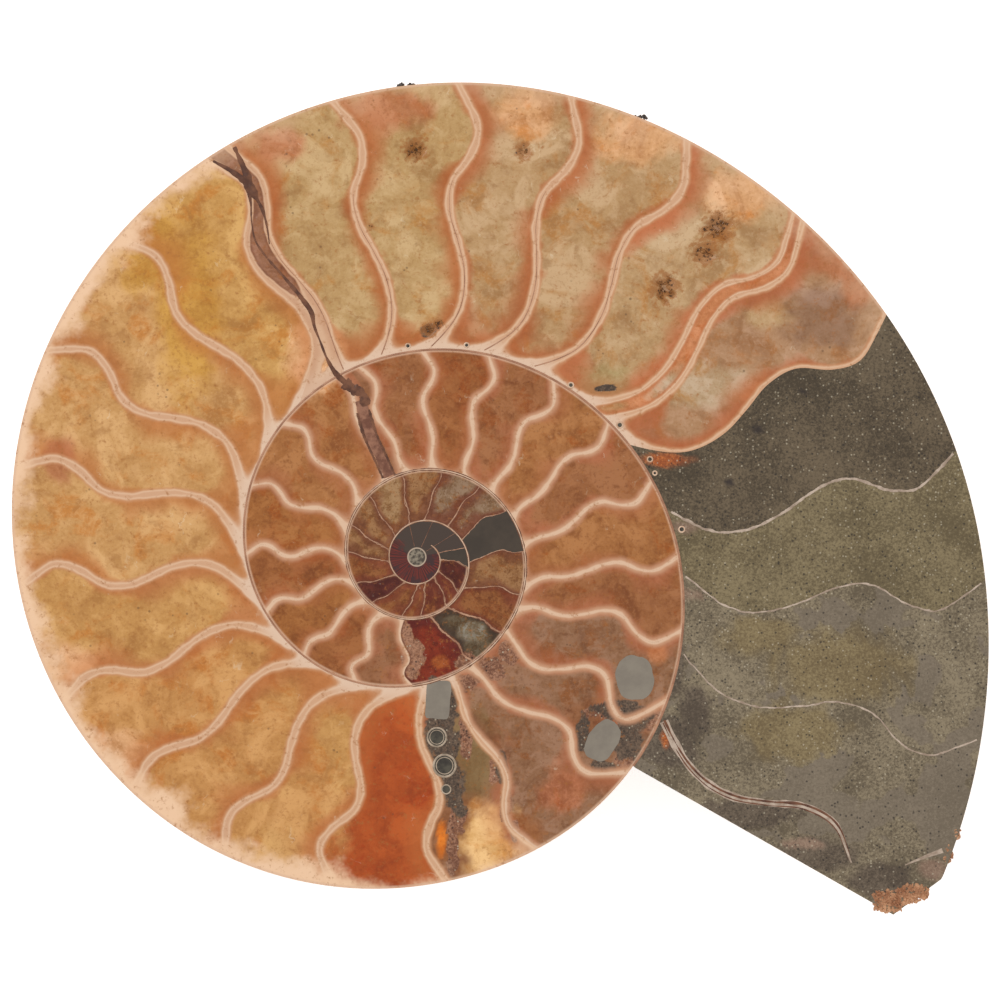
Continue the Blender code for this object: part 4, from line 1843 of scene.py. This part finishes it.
def build_grains():
    """The rough crust at the tip, the lumps on the rim and the crystals in the pockets."""
    tree = grains_tree()
    rust = plain_material("rust_crust", srgb(206, 156, 118), srgb(160, 108, 76), 700.0, 0.7)
    lump = plain_material("dark_lumps", srgb(96, 84, 76), srgb(52, 46, 44), 900.0, 0.6)
    druse = plain_material("pocket_crystals", srgb(168, 116, 66), srgb(74, 50, 34), 1500.0, 0.25)
    pits = [(place, (size, size * 0.8), -deep * 0.5) for place, size, deep in POCKETS]
    # Each: its name, its spots, grains to a square metre, their size in metres, seed and material.
    grains = [
        ("rust_crust", CRUST, 2.2e7, 0.00038, 3, rust),
        ("rim_lumps", RIM_LUMPS, 2.0e7, 0.00036, 4, lump),
        ("pocket_crystals", pits, 4.0e6, 0.0002, 5, druse),
    ]
    for name, spots, density, size, seed, material in grains:
        source = patches(name, spots)
        grown(name, source, tree, Density=density, Size=size, Seed=seed, Material=material)


# ---------------------------------------------------------------- the studio

VIEW_WIDTH = 0.1227  # the width in metres that the camera takes in, at the face
LENS = 135.0
SENSOR = 36.0
VIEW_CENTRE = (10.2, 7.0)  # mm from the coil's axis
FLOOR_REACH = 3.0
SKY_STRENGTH = 0.75
SOFTBOX_PLACE = (-0.35, 0.45, 0.7)
SOFTBOX_SIZE = 0.5
SOFTBOX_POWER = 2.2


def build_floor(scene):
    """A plain pale floor."""
    floor_mesh = bpy.data.meshes.new("floor")
    corners = [(x * FLOOR_REACH, y * FLOOR_REACH, 0.0) for x, y in ((-1, -1), (1, -1), (1, 1), (-1, 1))]
    floor_mesh.from_pydata(corners, [], [[0, 1, 2, 3]])
    floor = bpy.data.objects.new("floor", floor_mesh)
    scene.collection.objects.link(floor)
    material, _, shader = new_material("studio_white", roughness=0.9)
    shader.inputs["Base Color"].default_value = (0.93, 0.93, 0.93, 1.0)
    shader.inputs["Specular IOR Level"].default_value = 0.0
    shader.inputs["Emission Color"].default_value = (1.0, 1.0, 1.0, 1.0)
    shader.inputs["Emission Strength"].default_value = 0.6
    floor_mesh.materials.append(material)


def build_light(scene):
    """An even pale sky and one soft light from the upper left."""
    world = bpy.data.worlds.new("studio")
    world.use_nodes = True
    world.node_tree.nodes["Background"].inputs["Color"].default_value = (1.0, 0.995, 0.985, 1.0)
    world.node_tree.nodes["Background"].inputs["Strength"].default_value = SKY_STRENGTH
    scene.world = world
    light_data = bpy.data.lights.new("softbox", "AREA")
    light_data.shape = "DISK"
    light_data.size = SOFTBOX_SIZE
    light_data.energy = SOFTBOX_POWER
    softbox = bpy.data.objects.new("softbox", light_data)
    softbox.location = SOFTBOX_PLACE
    softbox.rotation_euler = (-Vector(softbox.location)).to_track_quat("-Z", "Y").to_euler()
    scene.collection.objects.link(softbox)


def build_camera(scene):
    """A camera that looks straight down on the polished face."""
    camera_data = bpy.data.cameras.new("camera")
    camera_data.lens = LENS
    camera_data.sensor_width = SENSOR
    camera = bpy.data.objects.new("camera", camera_data)
    place = AXIS + np.array(VIEW_CENTRE) * MM
    camera.location = (place[0], place[1], FACE_Z + VIEW_WIDTH * LENS / SENSOR)
    scene.collection.objects.link(camera)
    scene.camera = camera
    scene.view_settings.view_transform = "Standard"


build_fillings()
build_mud()
build_lines()
build_inlays()
build_grains()
natural_side(patina_material())
build_floor(bpy.context.scene)
build_light(bpy.context.scene)
build_camera(bpy.context.scene)
